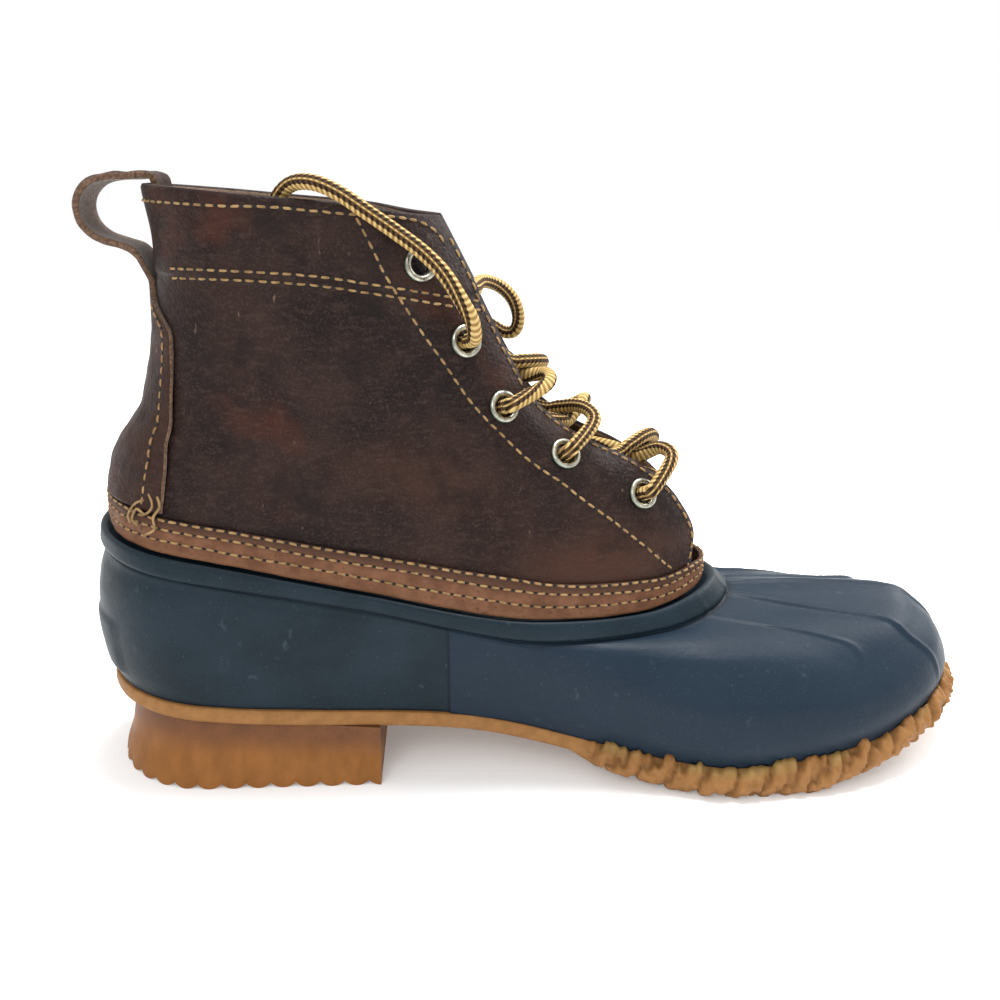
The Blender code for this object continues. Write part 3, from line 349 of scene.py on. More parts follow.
def outward(surface, level, side, station, top):
    """The surface's normal, away from the foot."""
    small = 0.02
    level, side, station = np.broadcast_arrays(
        np.asarray(level, float), np.asarray(side, float), np.asarray(station, float))
    at_back, at_tip = station <= small, station >= 3 - small
    before = np.where(at_back, small, np.where(at_tip, 3 - small, station - small))
    after = np.where(at_back, small, np.where(at_tip, 3 - small, station + small))
    run = (surface(level, np.where(at_tip, -side, side), np.minimum(after, 3.0))
           - surface(level, np.where(at_back, -side, side), np.maximum(before, 0.0)))
    climb = (surface(np.minimum(level + small, top), side, station)
             - surface(np.maximum(level - small, 0.0), side, station))
    return unit(np.cross(run, climb) * -side[..., None])


def skin(surface, level, side, station, lift):
    top = float(RIM if surface is leather_point else LIP)
    level = np.clip(level, 0.0, top)
    normal = outward(surface, level, side, station, top)
    return surface(level, side, station) + np.asarray(lift, float)[..., None] * normal


def station_at_width(ring, wanted):
    half = BALL_WIDTH * smooth(WIDTH_STATIONS, (ring.heel, ring.waist, ring.ball), 0.9 + 0 * ring.heel)
    return 3 - np.arcsin(np.minimum(0.98, wanted / half)) / (math.pi / 2)


def column_station(column, level):
    """Columns of the leather: 0 back, 1 side of heel, 2 toe round starts, 3 throat edge, 4 tip."""
    ring = ring_at(LEATHER, level)
    edge = station_at_width(ring, ring.line_a * BALL_WIDTH)
    column = np.asarray(column, float)
    throat = 2 + (column - 2) * (edge - 2)
    return np.where(column <= 2, column,
                    np.where(column <= 3, throat, edge + (column - 3) * (3 - edge)))


def leather_column(level, side, column, lift):
    return skin(leather_point, level, side, column_station(column, level), lift)


def eyelet_column(level, inset):
    ring = ring_at(LEATHER, level)
    station = station_at_width(ring, (ring.line_a + inset) * BALL_WIDTH)
    return 2 + (station - 2) / (column_station(3.0, level) - 2)


def sole_line(x):
    feather = RUBBER[0]
    share = (x - along(feather.back)) / (along(feather.front) - along(feather.back))
    return LIP_HEIGHT * smooth(HEIGHT_STATIONS, ring_heights(feather), share)


def tread_line(x):
    places = [along(share) for share in TREAD_PLACES]
    heights = [float(sole_line(places[0])) - PLATE_EDGE] + [LIP_HEIGHT * h for h in TREAD_HEIGHTS[1:]]
    return np.where(x < places[0], sole_line(x) - PLATE_EDGE, smooth(places, heights, x))


def level_at_height(goal, side, station_at, top, steps):
    """The level at which the leather's skin reaches a height, by halving."""
    low, high = np.zeros(goal.shape), np.full(goal.shape, top)
    for _ in range(steps):
        middle = (low + high) / 2
        under = leather_point(middle, side, station_at(middle))[..., 2] < goal
        low, high = np.where(under, middle, low), np.where(under, high, middle)
    return low, high


def level_above_lip(side, column, height):
    rise = height * (1 - BAND_NARROWS * np.clip(column - 2.5, 0, 1))
    goal = leather_point(0.0, side, column_station(column, 0.0))[..., 2] + rise
    low, high = level_at_height(goal, side, lambda level: column_station(column, level), 4.0, 18)
    return (low + high) / 2


def around(stations):
    """Sides and stations from the back along the inner side to the tip, and home again."""
    side = np.concatenate([-np.ones(len(stations)), np.ones(len(stations) - 2)])
    return side, np.concatenate([stations, stations[-2:0:-1]])


def ripple(points, wavelength, seed, count=9):
    """A soft irregular wave through space, about -1 to 1."""
    draw = np.random.default_rng(seed)
    directions = unit(draw.normal(size=(count, 3))) * 2 * math.pi / wavelength
    directions *= draw.uniform(0.6, 1.5, (count, 1))
    phases = draw.uniform(0, 2 * math.pi, count)
    return np.sin(points @ directions.T + phases).sum(-1) / math.sqrt(count)


# Mesh pieces and lines
def grid_faces(rows, columns, close_rows=False, close_columns=False, start=0):
    r = np.arange(rows if close_rows else rows - 1)
    c = np.arange(columns if close_columns else columns - 1)
    r, c = np.meshgrid(r, c, indexing="ij")
    r2, c2 = (r + 1) % rows, (c + 1) % columns
    quads = np.stack([r * columns + c, r * columns + c2, r2 * columns + c2, r2 * columns + c], -1)
    return (quads.reshape(-1, 4) + start).tolist()


def piece(name, points, faces, materials, nodes=(), values=None, zones=None, angle=None,
          weld=False):
    """Makes a mesh piece that rides on the boot, with named values at its points for its material."""
    mesh = bpy.data.meshes.new(name)
    mesh.from_pydata(np.asarray(points, float).reshape(-1, 3).tolist(), [], faces)
    for key, value in (values or {}).items():
        layer = mesh.attributes.new(key, "FLOAT", "POINT")
        layer.data.foreach_set("value", np.asarray(value, np.float32).ravel())
    for material in materials:
        mesh.materials.append(material)
    if zones is not None:
        mesh.polygons.foreach_set("material_index", np.asarray(zones, np.int32))
    work = bmesh.new()
    work.from_mesh(mesh)
    if weld:
        bmesh.ops.remove_doubles(work, verts=work.verts, dist=1e-6)
    bmesh.ops.recalc_face_normals(work, faces=work.faces)
    work.to_mesh(mesh)
    work.free()
    mesh.shade_smooth()
    if angle:
        mesh.set_sharp_from_angle(angle=math.radians(angle))
    obj = bpy.data.objects.new(name, mesh)
    bpy.context.scene.collection.objects.link(obj)
    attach(obj, "root")
    if nodes:
        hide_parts(*nodes)
    return obj


def cap_faces(strip):
    """Quads that close an open end of a sheet; the strip runs along one face and back the other."""
    last = len(strip) - 1
    return [[strip[k], strip[k + 1], strip[last - 1 - k], strip[last - k]]
            for k in range(len(strip) // 2 - 1)]


def sheet_faces(rows, columns):
    """Faces of a folded sheet whose rows go out along one face and back along the other."""
    faces = grid_faces(rows, columns, close_rows=True)
    for end in (0, columns - 1):
        faces += cap_faces([r * columns + end for r in range(rows)])
    return faces


def tube_faces(rings, sides):
    """Faces of a tube with both ends closed."""
    faces = grid_faces(rings, sides, close_columns=True)
    return faces + [list(range(sides))[::-1], list(range((rings - 1) * sides, rings * sides))]


class Patch:
    """A grid of surface points that can be read anywhere, for stitches that lie on it."""

    def __init__(self, rows, columns, points, sign):
        self.rows, self.columns, self.points = rows, columns, points
        run, climb = np.gradient(points, axis=1), np.gradient(points, axis=0)
        self.normals = unit(sign * np.cross(run, climb))

    def at(self, row, column):
        r = np.interp(row, self.rows, np.arange(len(self.rows)))
        c = np.interp(column, self.columns, np.arange(len(self.columns)))
        i = np.minimum(r.astype(int), len(self.rows) - 2)
        j = np.minimum(c.astype(int), len(self.columns) - 2)
        u, v = (r - i)[..., None], (c - j)[..., None]
        read = lambda g: ((1 - u) * ((1 - v) * g[i, j] + v * g[i, j + 1])
                          + u * ((1 - v) * g[i + 1, j] + v * g[i + 1, j + 1]))
        return read(self.points), unit(read(self.normals))


def bend(before, p, q, after, s):
    """A smooth curve from p to q that also heeds their neighbours; s goes from 0 to 1."""
    return 0.5 * (2 * p + (q - before) * s + (2 * before - 5 * p + 4 * q - after) * s**2
                  + (3 * p - before - 3 * q + after) * s**3)


def smooth_route(points, spacing):
    """Points at an even spacing on a smooth curve through a route."""
    points = np.asarray(points, float)
    ends = np.concatenate([points[:1], points, points[-1:]])
    s = (np.arange(16) / 16)[:, None]
    curve = [bend(*four, s) for four in zip(ends, ends[1:], ends[2:], ends[3:])]
    return spaced(np.concatenate(curve + [points[-1:]]), spacing)


def sheet_between(edges, across):
    """Points from one edge to the other; across goes from -1 to 1."""
    middle, half = (edges[0] + edges[1]) / 2, (edges[1] - edges[0]) / 2
    return middle[:, None] + half[:, None] * across[..., None]


def lengths(curve):
    return np.concatenate([[0.0], np.cumsum(np.linalg.norm(np.diff(curve, axis=0), axis=1))])


def spaced(curve, spacing):
    run = lengths(curve)
    at = np.linspace(0, run[-1], max(3, round(run[-1] / spacing) + 1))
    return np.stack([np.interp(at, run, curve[:, k]) for k in range(curve.shape[1])], -1)


# Camera
def make_camera():
    data = bpy.data.cameras.new("camera")
    data.sensor_width = SENSOR_MM
    data.lens = SENSOR_MM * FOCAL_PIXELS / FRAME_PIXELS
    data.clip_start = 0.01
    camera = bpy.data.objects.new("camera", data)
    camera.location = CAMERA_PLACE
    camera.rotation_euler = (math.radians(90 - CAMERA_PITCH), 0.0, -math.radians(CAMERA_AZIMUTH))
    bpy.context.scene.collection.objects.link(camera)
    bpy.context.scene.camera = camera


def pixels_of(points):
    """Where points fall in the photograph."""
    a, p = math.radians(CAMERA_AZIMUTH), math.radians(CAMERA_PITCH)
    forward = np.array([math.sin(a) * math.cos(p), math.cos(a) * math.cos(p), -math.sin(p)])
    right = np.array([math.cos(a), -math.sin(a), 0.0])
    up = np.cross(right, forward)
    away = points - np.array(CAMERA_PLACE)
    depth = away @ forward
    middle = FRAME_PIXELS / 2
    return np.stack([middle + FOCAL_PIXELS * (away @ right) / depth,
                     middle - FOCAL_PIXELS * (away @ up) / depth], -1)


def on_patch(patch, pixels, columns):
    """(row, column) on a patch under each pixel, within a range of its columns."""
    inside = np.flatnonzero((patch.columns >= columns[0]) & (patch.columns <= columns[1]))
    seen = pixels_of(patch.points[:, inside])
    found = []
    for pixel in pixels:
        gap = np.linalg.norm(seen - np.array(pixel, float), axis=-1)
        i, j = np.unravel_index(gap.argmin(), gap.shape)
        i, j = min(max(i, 1), seen.shape[0] - 2), min(max(j, 1), seen.shape[1] - 2)
        slope = np.stack([seen[i + 1, j] - seen[i - 1, j], seen[i, j + 1] - seen[i, j - 1]], -1) / 2
        step = np.clip(np.linalg.solve(slope, np.array(pixel, float) - seen[i, j]), -1.5, 1.5)
        row = np.interp(i + step[0], np.arange(len(patch.rows)), patch.rows)
        column = np.interp(inside[0] + j + step[1], np.arange(len(patch.columns)), patch.columns)
        found.append((row, column))
    return np.array(found)


# Materials
class Finish:
    """A Principled material, and short ways to add nodes to it."""

    def __init__(self, name, colour, roughness, metallic=0.0, **sockets):
        self.material = bpy.data.materials.new(name)
        self.material.use_nodes = True
        self.tree = self.material.node_tree
        self.shader = self.tree.nodes["Principled BSDF"]
        self.shader.inputs["Base Color"].default_value = (*colour, 1.0)
        self.shader.inputs["Roughness"].default_value = roughness
        self.shader.inputs["Metallic"].default_value = metallic
        for key, value in sockets.items():
            self.shader.inputs[key.replace("_", " ")].default_value = value
        self.place = self.tree.nodes.new("ShaderNodeTexCoord").outputs["Object"]
        self.height = None

    def add(self, kind, inputs, output, **settings):
        node = self.tree.nodes.new(kind)
        for key, value in settings.items():
            setattr(node, key, value)
        for key, value in inputs.items():
            if isinstance(value, bpy.types.NodeSocket):
                self.tree.links.new(value, node.inputs[key])
            else:
                node.inputs[key].default_value = value
        return node.outputs[output]

    def noise(self, size, detail=3.0, stretch=(1, 1, 1)):
        place = self.add("ShaderNodeMapping", {"Vector": self.place, "Scale": stretch}, "Vector")
        return self.add("ShaderNodeTexNoise", {"Vector": place, "Scale": 1 / size, "Detail": detail,
                                               "Roughness": 0.6}, "Fac")

    def cells(self, size, stretch=(1, 1, 1)):
        place = self.add("ShaderNodeMapping", {"Vector": self.place, "Scale": stretch}, "Vector")
        return self.add("ShaderNodeTexVoronoi", {"Vector": place, "Scale": 1 / size}, "Distance")

    def value(self, name):
        return self.add("ShaderNodeAttribute", {}, "Fac", attribute_name=name)

    def span(self, value, low, high, to_low=0.0, to_high=1.0):
        return self.add("ShaderNodeMapRange", {0: value, 1: low, 2: high, 3: to_low, 4: to_high},
                        "Result", interpolation_type="SMOOTHSTEP")

    def maths(self, operation, *values):
        return self.add("ShaderNodeMath", dict(enumerate(values)), "Value", operation=operation)

    def mix(self, share, a, b):
        a, b = (c if isinstance(c, bpy.types.NodeSocket) else (*c, 1.0) for c in (a, b))
        return self.add("ShaderNodeMix", {0: share, 6: a, 7: b}, 2, data_type="RGBA")

    def ground(self, size, detail, first, second, low=0.3, high=0.7, stretch=(1, 1, 1)):
        """Starts the colour with soft patches of two tones."""
        self.base = self.mix(self.span(self.noise(size, detail, stretch), low, high), first, second)

    def spots(self, size, detail, low, high, most, colour, stretch=(1, 1, 1)):
        """Adds noise spots of a colour, where the noise lies from low to high, up to a share."""
        self.tint(self.span(self.noise(size, detail, stretch), low, high, 0.0, most), colour)

    def graded(self, name, low, high, most, colour):
        """Adds a colour where one of the piece's own values goes from low to high."""
        self.tint(self.span(self.value(name), low, high, 0.0, most), colour)

    def tint(self, share, colour):
        self.base = self.mix(share, self.base, colour)

    def painted(self):
        self.tree.links.new(self.base, self.shader.inputs["Base Color"])

    def rough(self, value, low, high):
        self.tree.links.new(self.span(value, 0.2, 0.8, low, high), self.shader.inputs["Roughness"])

    def bump(self, height, distance):
        inputs = {"Height": height, "Distance": distance, "Strength": 1.0}
        if self.height:
            inputs["Normal"] = self.height
        self.height = self.add("ShaderNodeBump", inputs, "Normal")
        self.tree.links.new(self.height, self.shader.inputs["Normal"])


def rubber_finish():
    m = Finish("navy_rubber", (0.016, 0.028, 0.042), 0.45, Specular_IOR_Level=0.13)
    m.ground(0.03, 3, (0.005, 0.012, 0.017), (0.010, 0.020, 0.029))
    m.graded("front", 0, 1, 0.75, (0.011, 0.021, 0.036))
    m.spots(0.0005, 2, 0.60, 0.76, 0.35, (0.055, 0.078, 0.098))
    m.tint(m.span(m.cells(0.004), 0.02, 0.07, 0.4, 0.0), (0.10, 0.13, 0.155))
    m.spots(0.0028, 3, 0.64, 0.76, 0.3, (0.060, 0.085, 0.105), (0.7, 1, 0.4))
    # painted shade: darker in the crease under the lip, along the overlay's step and on the lip's top edge
    # by the band
    m.graded("shaded_groove", 0, 1, 0.8, (0.004, 0.006, 0.010))
    m.painted()
    m.rough(m.noise(0.012), 0.36, 0.50)
    m.bump(m.noise(0.0004, 2), 0.00005)
    m.bump(m.noise(0.002, 3), 0.00010)
    return m.material


def gum_finish():
    m = Finish("gum_rubber", (0.30, 0.14, 0.05), 0.55, Specular_IOR_Level=0.15)
    m.ground(0.004, 4, (0.225, 0.104, 0.032), (0.285, 0.136, 0.045))
    m.graded("shade", 0, 1, 0.55, (0.120, 0.052, 0.016))
    # partly a painted highlight: the chain's knob tips paler towards the top, with a yellow-green tint
    m.graded("tint", 0.1, 1, 0.45, (0.27, 0.22, 0.075))
    m.spots(0.0004, 2, 0.6, 0.75, 0.3, (0.38, 0.22, 0.10))
    m.painted()
    m.rough(m.noise(0.006), 0.45, 0.65)
    m.bump(m.noise(0.0007, 3), 0.00014)
    return m.material


def heel_finish():
    m = Finish("heel_rubber", (0.22, 0.08, 0.025), 0.5, Specular_IOR_Level=0.18)
    m.ground(0.006, 4, (0.205, 0.078, 0.016), (0.265, 0.104, 0.024), stretch=(1, 1, 0.3))
    low = m.base
    m.ground(0.006, 4, (0.115, 0.045, 0.018), (0.150, 0.060, 0.024))
    m.base = m.mix(m.span(m.value("height"), 0.35, 0.85), low, m.base)
    m.spots(0.0004, 2, 0.6, 0.75, 0.35, (0.32, 0.16, 0.055))
    m.painted()
    m.rough(m.noise(0.006), 0.42, 0.6)
    m.bump(m.noise(0.0007, 3), 0.00012)
    return m.material


def leather_finish():
    m = Finish("brown_leather", (0.028, 0.013, 0.008), 0.5, Specular_IOR_Level=0.13)
    m.ground(0.02, 4, (0.008, 0.0038, 0.0034), (0.022, 0.0105, 0.0080), 0.35, 0.65)
    m.spots(0.035, 3, 0.54, 0.72, 0.8, (0.048, 0.0125, 0.0065))
    m.graded("warm", 0, 1, 0.7, (0.056, 0.022, 0.0125))
    # lighter greyish flecks: the grain's own tone with a painted sheen
    m.spots(0.0007, 3, 0.50, 0.70, 0.55, (0.052, 0.033, 0.027))
    m.spots(0.0020, 4, 0.50, 0.68, 0.35, (0.050, 0.029, 0.022), (0.45, 1, 1.3))
    m.spots(0.012, 4, 0.52, 0.68, 0.55, (0.0060, 0.0036, 0.0036))
    m.spots(0.0045, 2, 0.72, 0.78, 0.7, (0.15, 0.095, 0.070), (1.6, 1, 0.6))
    m.tint(m.value("edge"), (0.008, 0.005, 0.004))
    m.painted()
    m.rough(m.noise(0.008), 0.40, 0.60)
    m.bump(m.cells(0.0011), 0.00012)
    m.bump(m.noise(0.0005, 3), 0.00008)
    m.bump(m.noise(0.0022, 4, (0.4, 1, 1.4)), 0.00026)
    m.bump(m.noise(0.006, 3), 0.00040)
    return m.material


def band_finish():
    m = Finish("band_leather", (0.15, 0.07, 0.04), 0.6, Specular_IOR_Level=0.15)
    m.ground(0.006, 4, (0.100, 0.041, 0.020), (0.165, 0.074, 0.038))
    m.graded("height", 0.55, 0.9, 0.85, (0.045, 0.020, 0.012))
    m.graded("height", 0.25, 0.0, 0.6, (0.22, 0.105, 0.055))
    m.spots(0.0022, 3, 0.58, 0.74, 0.6, (0.036, 0.016, 0.010))
    m.painted()
    m.rough(m.noise(0.004), 0.5, 0.7)
    m.bump(m.cells(0.0010), 0.00012)
    m.bump(m.noise(0.0018, 3), 0.00026)
    return m.material


def suede_finish():
    m = Finish("raw_leather", (0.12, 0.066, 0.038), 0.95, Specular_IOR_Level=0.2, Sheen_Weight=0.3)
    m.ground(0.0009, 4, (0.060, 0.033, 0.020), (0.17, 0.098, 0.058), 0.35, 0.65)
    m.spots(0.008, 3, 0.4, 0.7, 0.6, (0.085, 0.048, 0.030))
    m.painted()
    m.rough(m.noise(0.002), 0.85, 0.98)
    m.bump(m.noise(0.0006, 4), 0.00025)
    return m.material


def lining_finish():
    m = Finish("lining", (0.17, 0.11, 0.07), 0.9)
    m.ground(0.003, 4, (0.13, 0.080, 0.050), (0.20, 0.130, 0.085))
    m.painted()
    m.rough(m.noise(0.004), 0.8, 0.95)
    m.bump(m.cells(0.0009), 0.00012)
    return m.material


def board_finish():
    m = Finish("insole_board", (0.16, 0.11, 0.07), 0.85)
    m.ground(0.002, 5, (0.11, 0.072, 0.045), (0.20, 0.14, 0.09))
    m.painted()
    m.rough(m.noise(0.004), 0.75, 0.95)
    m.bump(m.noise(0.0008, 4), 0.00020)
    return m.material


def metal_finish():
    m = Finish("eyelet_metal", (0.45, 0.43, 0.36), 0.28, 1.0)
    m.ground(0.002, 3, (0.46, 0.44, 0.37), (0.24, 0.23, 0.18), 0.35, 0.7)
    m.graded("rim", 0.90, 0.99, 0.85, (0.07, 0.12, 0.09))
    m.painted()
    m.rough(m.noise(0.0012, 4), 0.20, 0.42)
    m.bump(m.noise(0.0012, 3), 0.00003)
    return m.material


def lace_finish():
    m = Finish("lace_cord", (0.45, 0.30, 0.11), 0.8, Specular_IOR_Level=0.15)
    across = m.maths("ABSOLUTE", m.value("across"))
    run = m.maths("DIVIDE", m.value("run"), BRAID_PITCH)
    wave = m.maths("SINE", m.maths("MULTIPLY", m.maths("ADD", run, m.maths("MULTIPLY", across, BRAID_SLANT)),
                                   2 * math.pi))
    # the weave's colour follows its relief: painted shade in the hollows and painted highlight on the
    # ridges, over the yarn's gold and its dark stripes
    shaded_gold = m.mix(m.span(wave, -1, 1), (0.25, 0.145, 0.042), (0.56, 0.40, 0.165))
    edge = m.maths("ADD", across, m.maths("MULTIPLY", wave, 0.04))
    inner = m.span(edge, *DARK_STRIPE[:2])
    outer = m.span(edge, *DARK_STRIPE[2:], 1.0, 0.0)
    stripe = m.maths("MULTIPLY", inner, outer)
    dark = m.mix(m.span(wave, -1, 1), (0.012, 0.006, 0.003), (0.075, 0.038, 0.015))
    m.base = m.mix(stripe, shaded_gold, dark)
    m.painted()
    m.bump(wave, 0.00009)
    m.bump(m.noise(0.0004, 3), 0.00008)
    m.rough(m.noise(0.002), 0.65, 0.85)
    return m.material


def thread_finish(name, light, dark):
    m = Finish(name, light, 0.7, Specular_IOR_Level=0.2)
    m.ground(0.003, 3, dark, light, 0.35, 0.65)
    m.painted()
    m.rough(m.noise(0.002), 0.6, 0.8)
    m.bump(m.noise(0.0003, 2), 0.00006)
    return m.material


def hole_shade_finish():
    # painted shade: the darkness inside the needle holes, as a near-black colour
    m = Finish("stitch_hole_shade", (0.010, 0.007, 0.006), 0.9)
    m.base = m.mix(m.noise(0.002), (0.002, 0.0015, 0.0015), (0.010, 0.006, 0.005))
    m.painted()
    m.rough(m.noise(0.002), 0.8, 0.95)
    m.bump(m.noise(0.0005), 0.00005)
    return m.material


# Lace
def strand(start, end, side, shape):
    """Route from the eyelet on this side to the one above it on the other side."""
    level_a, inset_a = EYELETS[start]
    level_b, inset_b = EYELETS[end]
    column_a = eyelet_column(level_a, inset_a)
    column_b = eyelet_column(level_b, inset_b)
    route = []
    for share, lift in shape + EYELET_PASS:
        level = level_a + share * (level_b - level_a)
        if share < 0.5:
            column, here = column_a + 2 * share * (4 - column_a), side
        else:
            column, here = 4 - 2 * (share - 0.5) * (4 - column_b), -side
        route.append(leather_column(level, here, column, lift * LACE_DIAMETER))
    return route


def lace_route():
    """From the second eyelet of the inner side down, across the foot of the throat and up."""
    bottom = len(EYELETS) - 1
    up_a, up_b = [], []
    for step, start in enumerate(range(bottom, 1, -1)):
        side = -1 if step % 2 == 0 else 1
        up_a += strand(start, start - 1, side, UNDER_STRAND)
        up_b += strand(start, start - 1, -side, OVER_STRAND)
    level, inset = EYELETS[bottom]
    column = eyelet_column(level, inset)
    under = EYELET_PASS[0][1] * LACE_DIAMETER
    through = EYELET_PASS[1][1] * LACE_DIAMETER
    bar = [leather_column(level, 1, column, 0.0), leather_column(level, 1, column, through)]
    for side, col in ((1, column + 0.05), (1, 3.0), (1, 4.0), (-1, 3.0), (-1, column + 0.05)):
        bar.append(leather_column(level, side, col, under - (BAR_SAG if col >= 3 else 0.0)))
    bar.append(leather_column(level, -1, column, through))
    bar.append(leather_column(level, -1, column, 0.0))
    return up_b[::-1] + bar + up_a


def make_cord(name, route, finish, node, facing, spacing=0.0003, sides=16):
    """A braided round lace; its stripes keep turning to the facing direction."""
    path = smooth_route(route, spacing)
    tangents = unit(np.gradient(path, axis=0))
    facing = np.array(facing, float)
    across = []
    here = facing - tangents[0] * (facing @ tangents[0])
    for t in tangents:
        here = here + 0.05 * facing
        here = unit(here - t * (here @ t))
        across.append(here)
    across = np.array(across)
    other = np.cross(tangents, across)
    run = lengths(path)
    turn = 2 * np.pi * np.arange(sides) / sides
    weave = np.cos(2 * np.pi * (run[:, None] / BRAID_PITCH + BRAID_SLANT * np.abs(np.sin(turn))))
    radius = LACE_DIAMETER / 2 * (1 - LACE_RELIEF + LACE_RELIEF * weave)
    ends = np.ones(len(path))
    ends[:4] = ends[-4:][::-1] = (0.55, 0.82, 0.95, 0.99)
    radius = (radius * ends[:, None])[..., None]
    points = path[:, None] + radius * (np.cos(turn)[None, :, None] * across[:, None]
                                       + np.sin(turn)[None, :, None] * other[:, None])
    values = {"across": np.broadcast_to(np.sin(turn), (len(path), sides)),
              "run": np.broadcast_to(run[:, None], (len(path), sides))}
    obj = piece(name, points, tube_faces(len(path), sides), [finish], (node,), values)
    return obj, path, float(run[-1])


def make_laces():
    finish = lace_finish()
    make_cord("lace_through_eyelets", lace_route(), finish, "lace_crossings", (0.3, -1.0, 0.5))
    for name, route, node in (("lace_free_medial", MEDIAL_END, "lace_end_medial"),
                              ("lace_free_lateral", LATERAL_END, "lace_end_lateral")):
        obj, path, length = make_cord(name, route, finish, node, (0.0, -1.0, 0.3))
        print(name, "length", round(length, 4))


# Rubber lower and sole
def shell_station(t, level):
    """Stations of the shell's columns; t = 1.5 always falls on the line of the front overlay."""
    ring = ring_at(RUBBER, level)
    start = along(ring.back) + ring.heel_round * LAST_LENGTH
    end = along(ring.front) - ring.toe_round * LAST_LENGTH
    line = np.minimum(0.94, (along(OVERLAY_LINE) - start) / (end - start))
    inside = np.clip(t - 1, 0, 1)
    moved = 1 + np.where(inside < 0.5, 2 * inside * line, line + 2 * (inside - 0.5) * (1 - line))
    return np.where((t > 1) & (t < 2), moved, t)


def make_shell(finish):
    t = np.concatenate([np.linspace(0, 1, 28)[:-1], np.linspace(1, 1.46, 24), OVERLAY_T + NEAR_OVERLAY,
                        np.linspace(1.54, 2, 22), np.linspace(2, 3, 170)[1:]])
    side, t = around(t)
    levels = np.concatenate([np.linspace(0, 5.70, 58), LIP_LEVELS])
    level, tt = np.meshgrid(levels, t, indexing="ij")
    ss = np.broadcast_to(side, level.shape)
    station = shell_station(tt, level)
    ring = ring_at(RUBBER, level)
    turn = (3 - station) * math.pi / 2
    reach = np.hypot(ring.toe_round * LAST_LENGTH * np.sin(turn),
                     BALL_WIDTH * ring.ball * np.cos(turn))
    lift = np.zeros(level.shape)
    ribs = ((0 * level, ring.lift_a), (ring.line_a, ring.lift_a), (ring.line_b, ring.lift_b))
    for line, height in ribs:
        gap = np.abs(turn - np.radians(line)) * reach / RIB_HALF_WIDTH
        rib = RIB_HEIGHT * height * np.clip(1 - gap**1.3, 0, 1) ** 1.5
        lift += np.where(station > 2, rib, 0)
    front = ease(tt, OVERLAY_T - OVERLAY_EDGE, OVERLAY_T + OVERLAY_EDGE) * ease(level, 6.0, 5.95)
    lift += OVERLAY_STEP * front
    lift += PAD_PROUD * ease(level, 0.5, 0.75) * ease(level, 2.45, 2.25) * ease(tt, 0.52, 0.46)
    lift += BEAD_PROUD * smooth(*zip(*BEAD_PROFILE), level)
    lift -= LIP_CREASE * bell(level, 5.9, 0.16)
    lift -= LIP_LINE * bell(level, 6.58, 0.07) * ease(tt, 1.9, 1.2)
    base = skin(rubber_point, level, ss, station, lift)
    waves = RUBBER_WAVES * ripple(base, 0.035, 3)
    base += waves[..., None] * unit(base - np.array([0.08, 0, 0.03]))
    # painted shade for the crease under the lip, the overlay's step and the dark gap above the lip's top
    # edge
    shaded_groove = (bell(level, 5.93, 0.06) + 0.8 * bell(tt, OVERLAY_T - 0.0025, 0.0035) * (level < 6)
              + ease(level, 6.985, 7.0))
    rows = [base] + shell_inside(side, t)
    points = np.concatenate(rows)
    faces = grid_faces(len(points), len(t), close_rows=True, close_columns=True)
    values = {"front": np.zeros(points.shape[:2]), "shaded_groove": np.zeros(points.shape[:2])}
    outer = len(levels)
    values["front"][:outer], values["shaded_groove"][:outer] = front, np.clip(shaded_groove, 0, 1)
    piece("rubber_lower", points, faces, [finish], ("rubber_shell",), values)


def shell_inside(side, t):
    """The rubber's ledge under the band, its flange, its inner wall and its turned-in margin."""
    seat = LEATHER_WALL + CLEARANCE
    lip_station = shell_station(t, float(LIP))
    ledge = ((BAND_WALL + 3 * CLEARANCE, -0.0008), (BAND_WALL, -0.0016), (-seat, -0.0016))
    rows = [leather_row_at(0.0, side, lip_station, out) + (0, 0, rise) for out, rise in ledge]
    flange = flange_level(side, lip_station)
    rows.append(leather_row_at(flange, side, lip_station, -seat))
    rows.append(leather_row_at(flange, side, lip_station, -seat - FLANGE_WALL))
    rows.append(leather_row_at(0.0, side, lip_station, -seat - FLANGE_WALL) - (0, 0, 0.0006))
    for inner in range(LIP - 1, 0, -1):
        rows.append(skin(rubber_point, np.full(t.shape, float(inner)), side, shell_station(t, inner),
                         np.full(t.shape, -RUBBER_WALL)))
    feather = rubber_point(0.0 * t, side, shell_station(t, 0.0))
    run = np.roll(feather, -1, 0) - np.roll(feather, 1, 0)
    inward = unit(np.stack([-run[:, 1], run[:, 0], 0 * run[:, 0]], -1))
    margin = ((RUBBER_WALL, RUBBER_WALL), (TURNED_MARGIN, RUBBER_WALL), (TURNED_MARGIN, 0.0))
    for inset, rise in margin:
        moved = feather + inset * inward
        moved[:, 2] = sole_line(moved[:, 0]) + rise
        rows.append(moved)
    return [row[None] for row in rows]


def leather_row_at(level, side, station, lift):
    level = np.broadcast_to(np.asarray(level, float), station.shape)
    return skin(leather_point, level, side, station, np.full(station.shape, lift))


def flange_level(side, station):
    goal = leather_point(0.0 * station, side, station)[:, 2] + FLANGE_HEIGHT
    return level_at_height(goal, side, lambda level: station, 3.0, 16)[0]


def edge_stations(ring, spacing):
    """Stations of a ring at an even spacing of arc, with the arc's length to each."""
    fine = np.linspace(0, 3, 6001)
    _, x, y = plan(ring, -1, fine)
    run = lengths(np.stack([x, y], -1))
    at = np.linspace(0, run[-1], round(run[-1] / spacing) + 1)
    return np.interp(at, run, fine), at


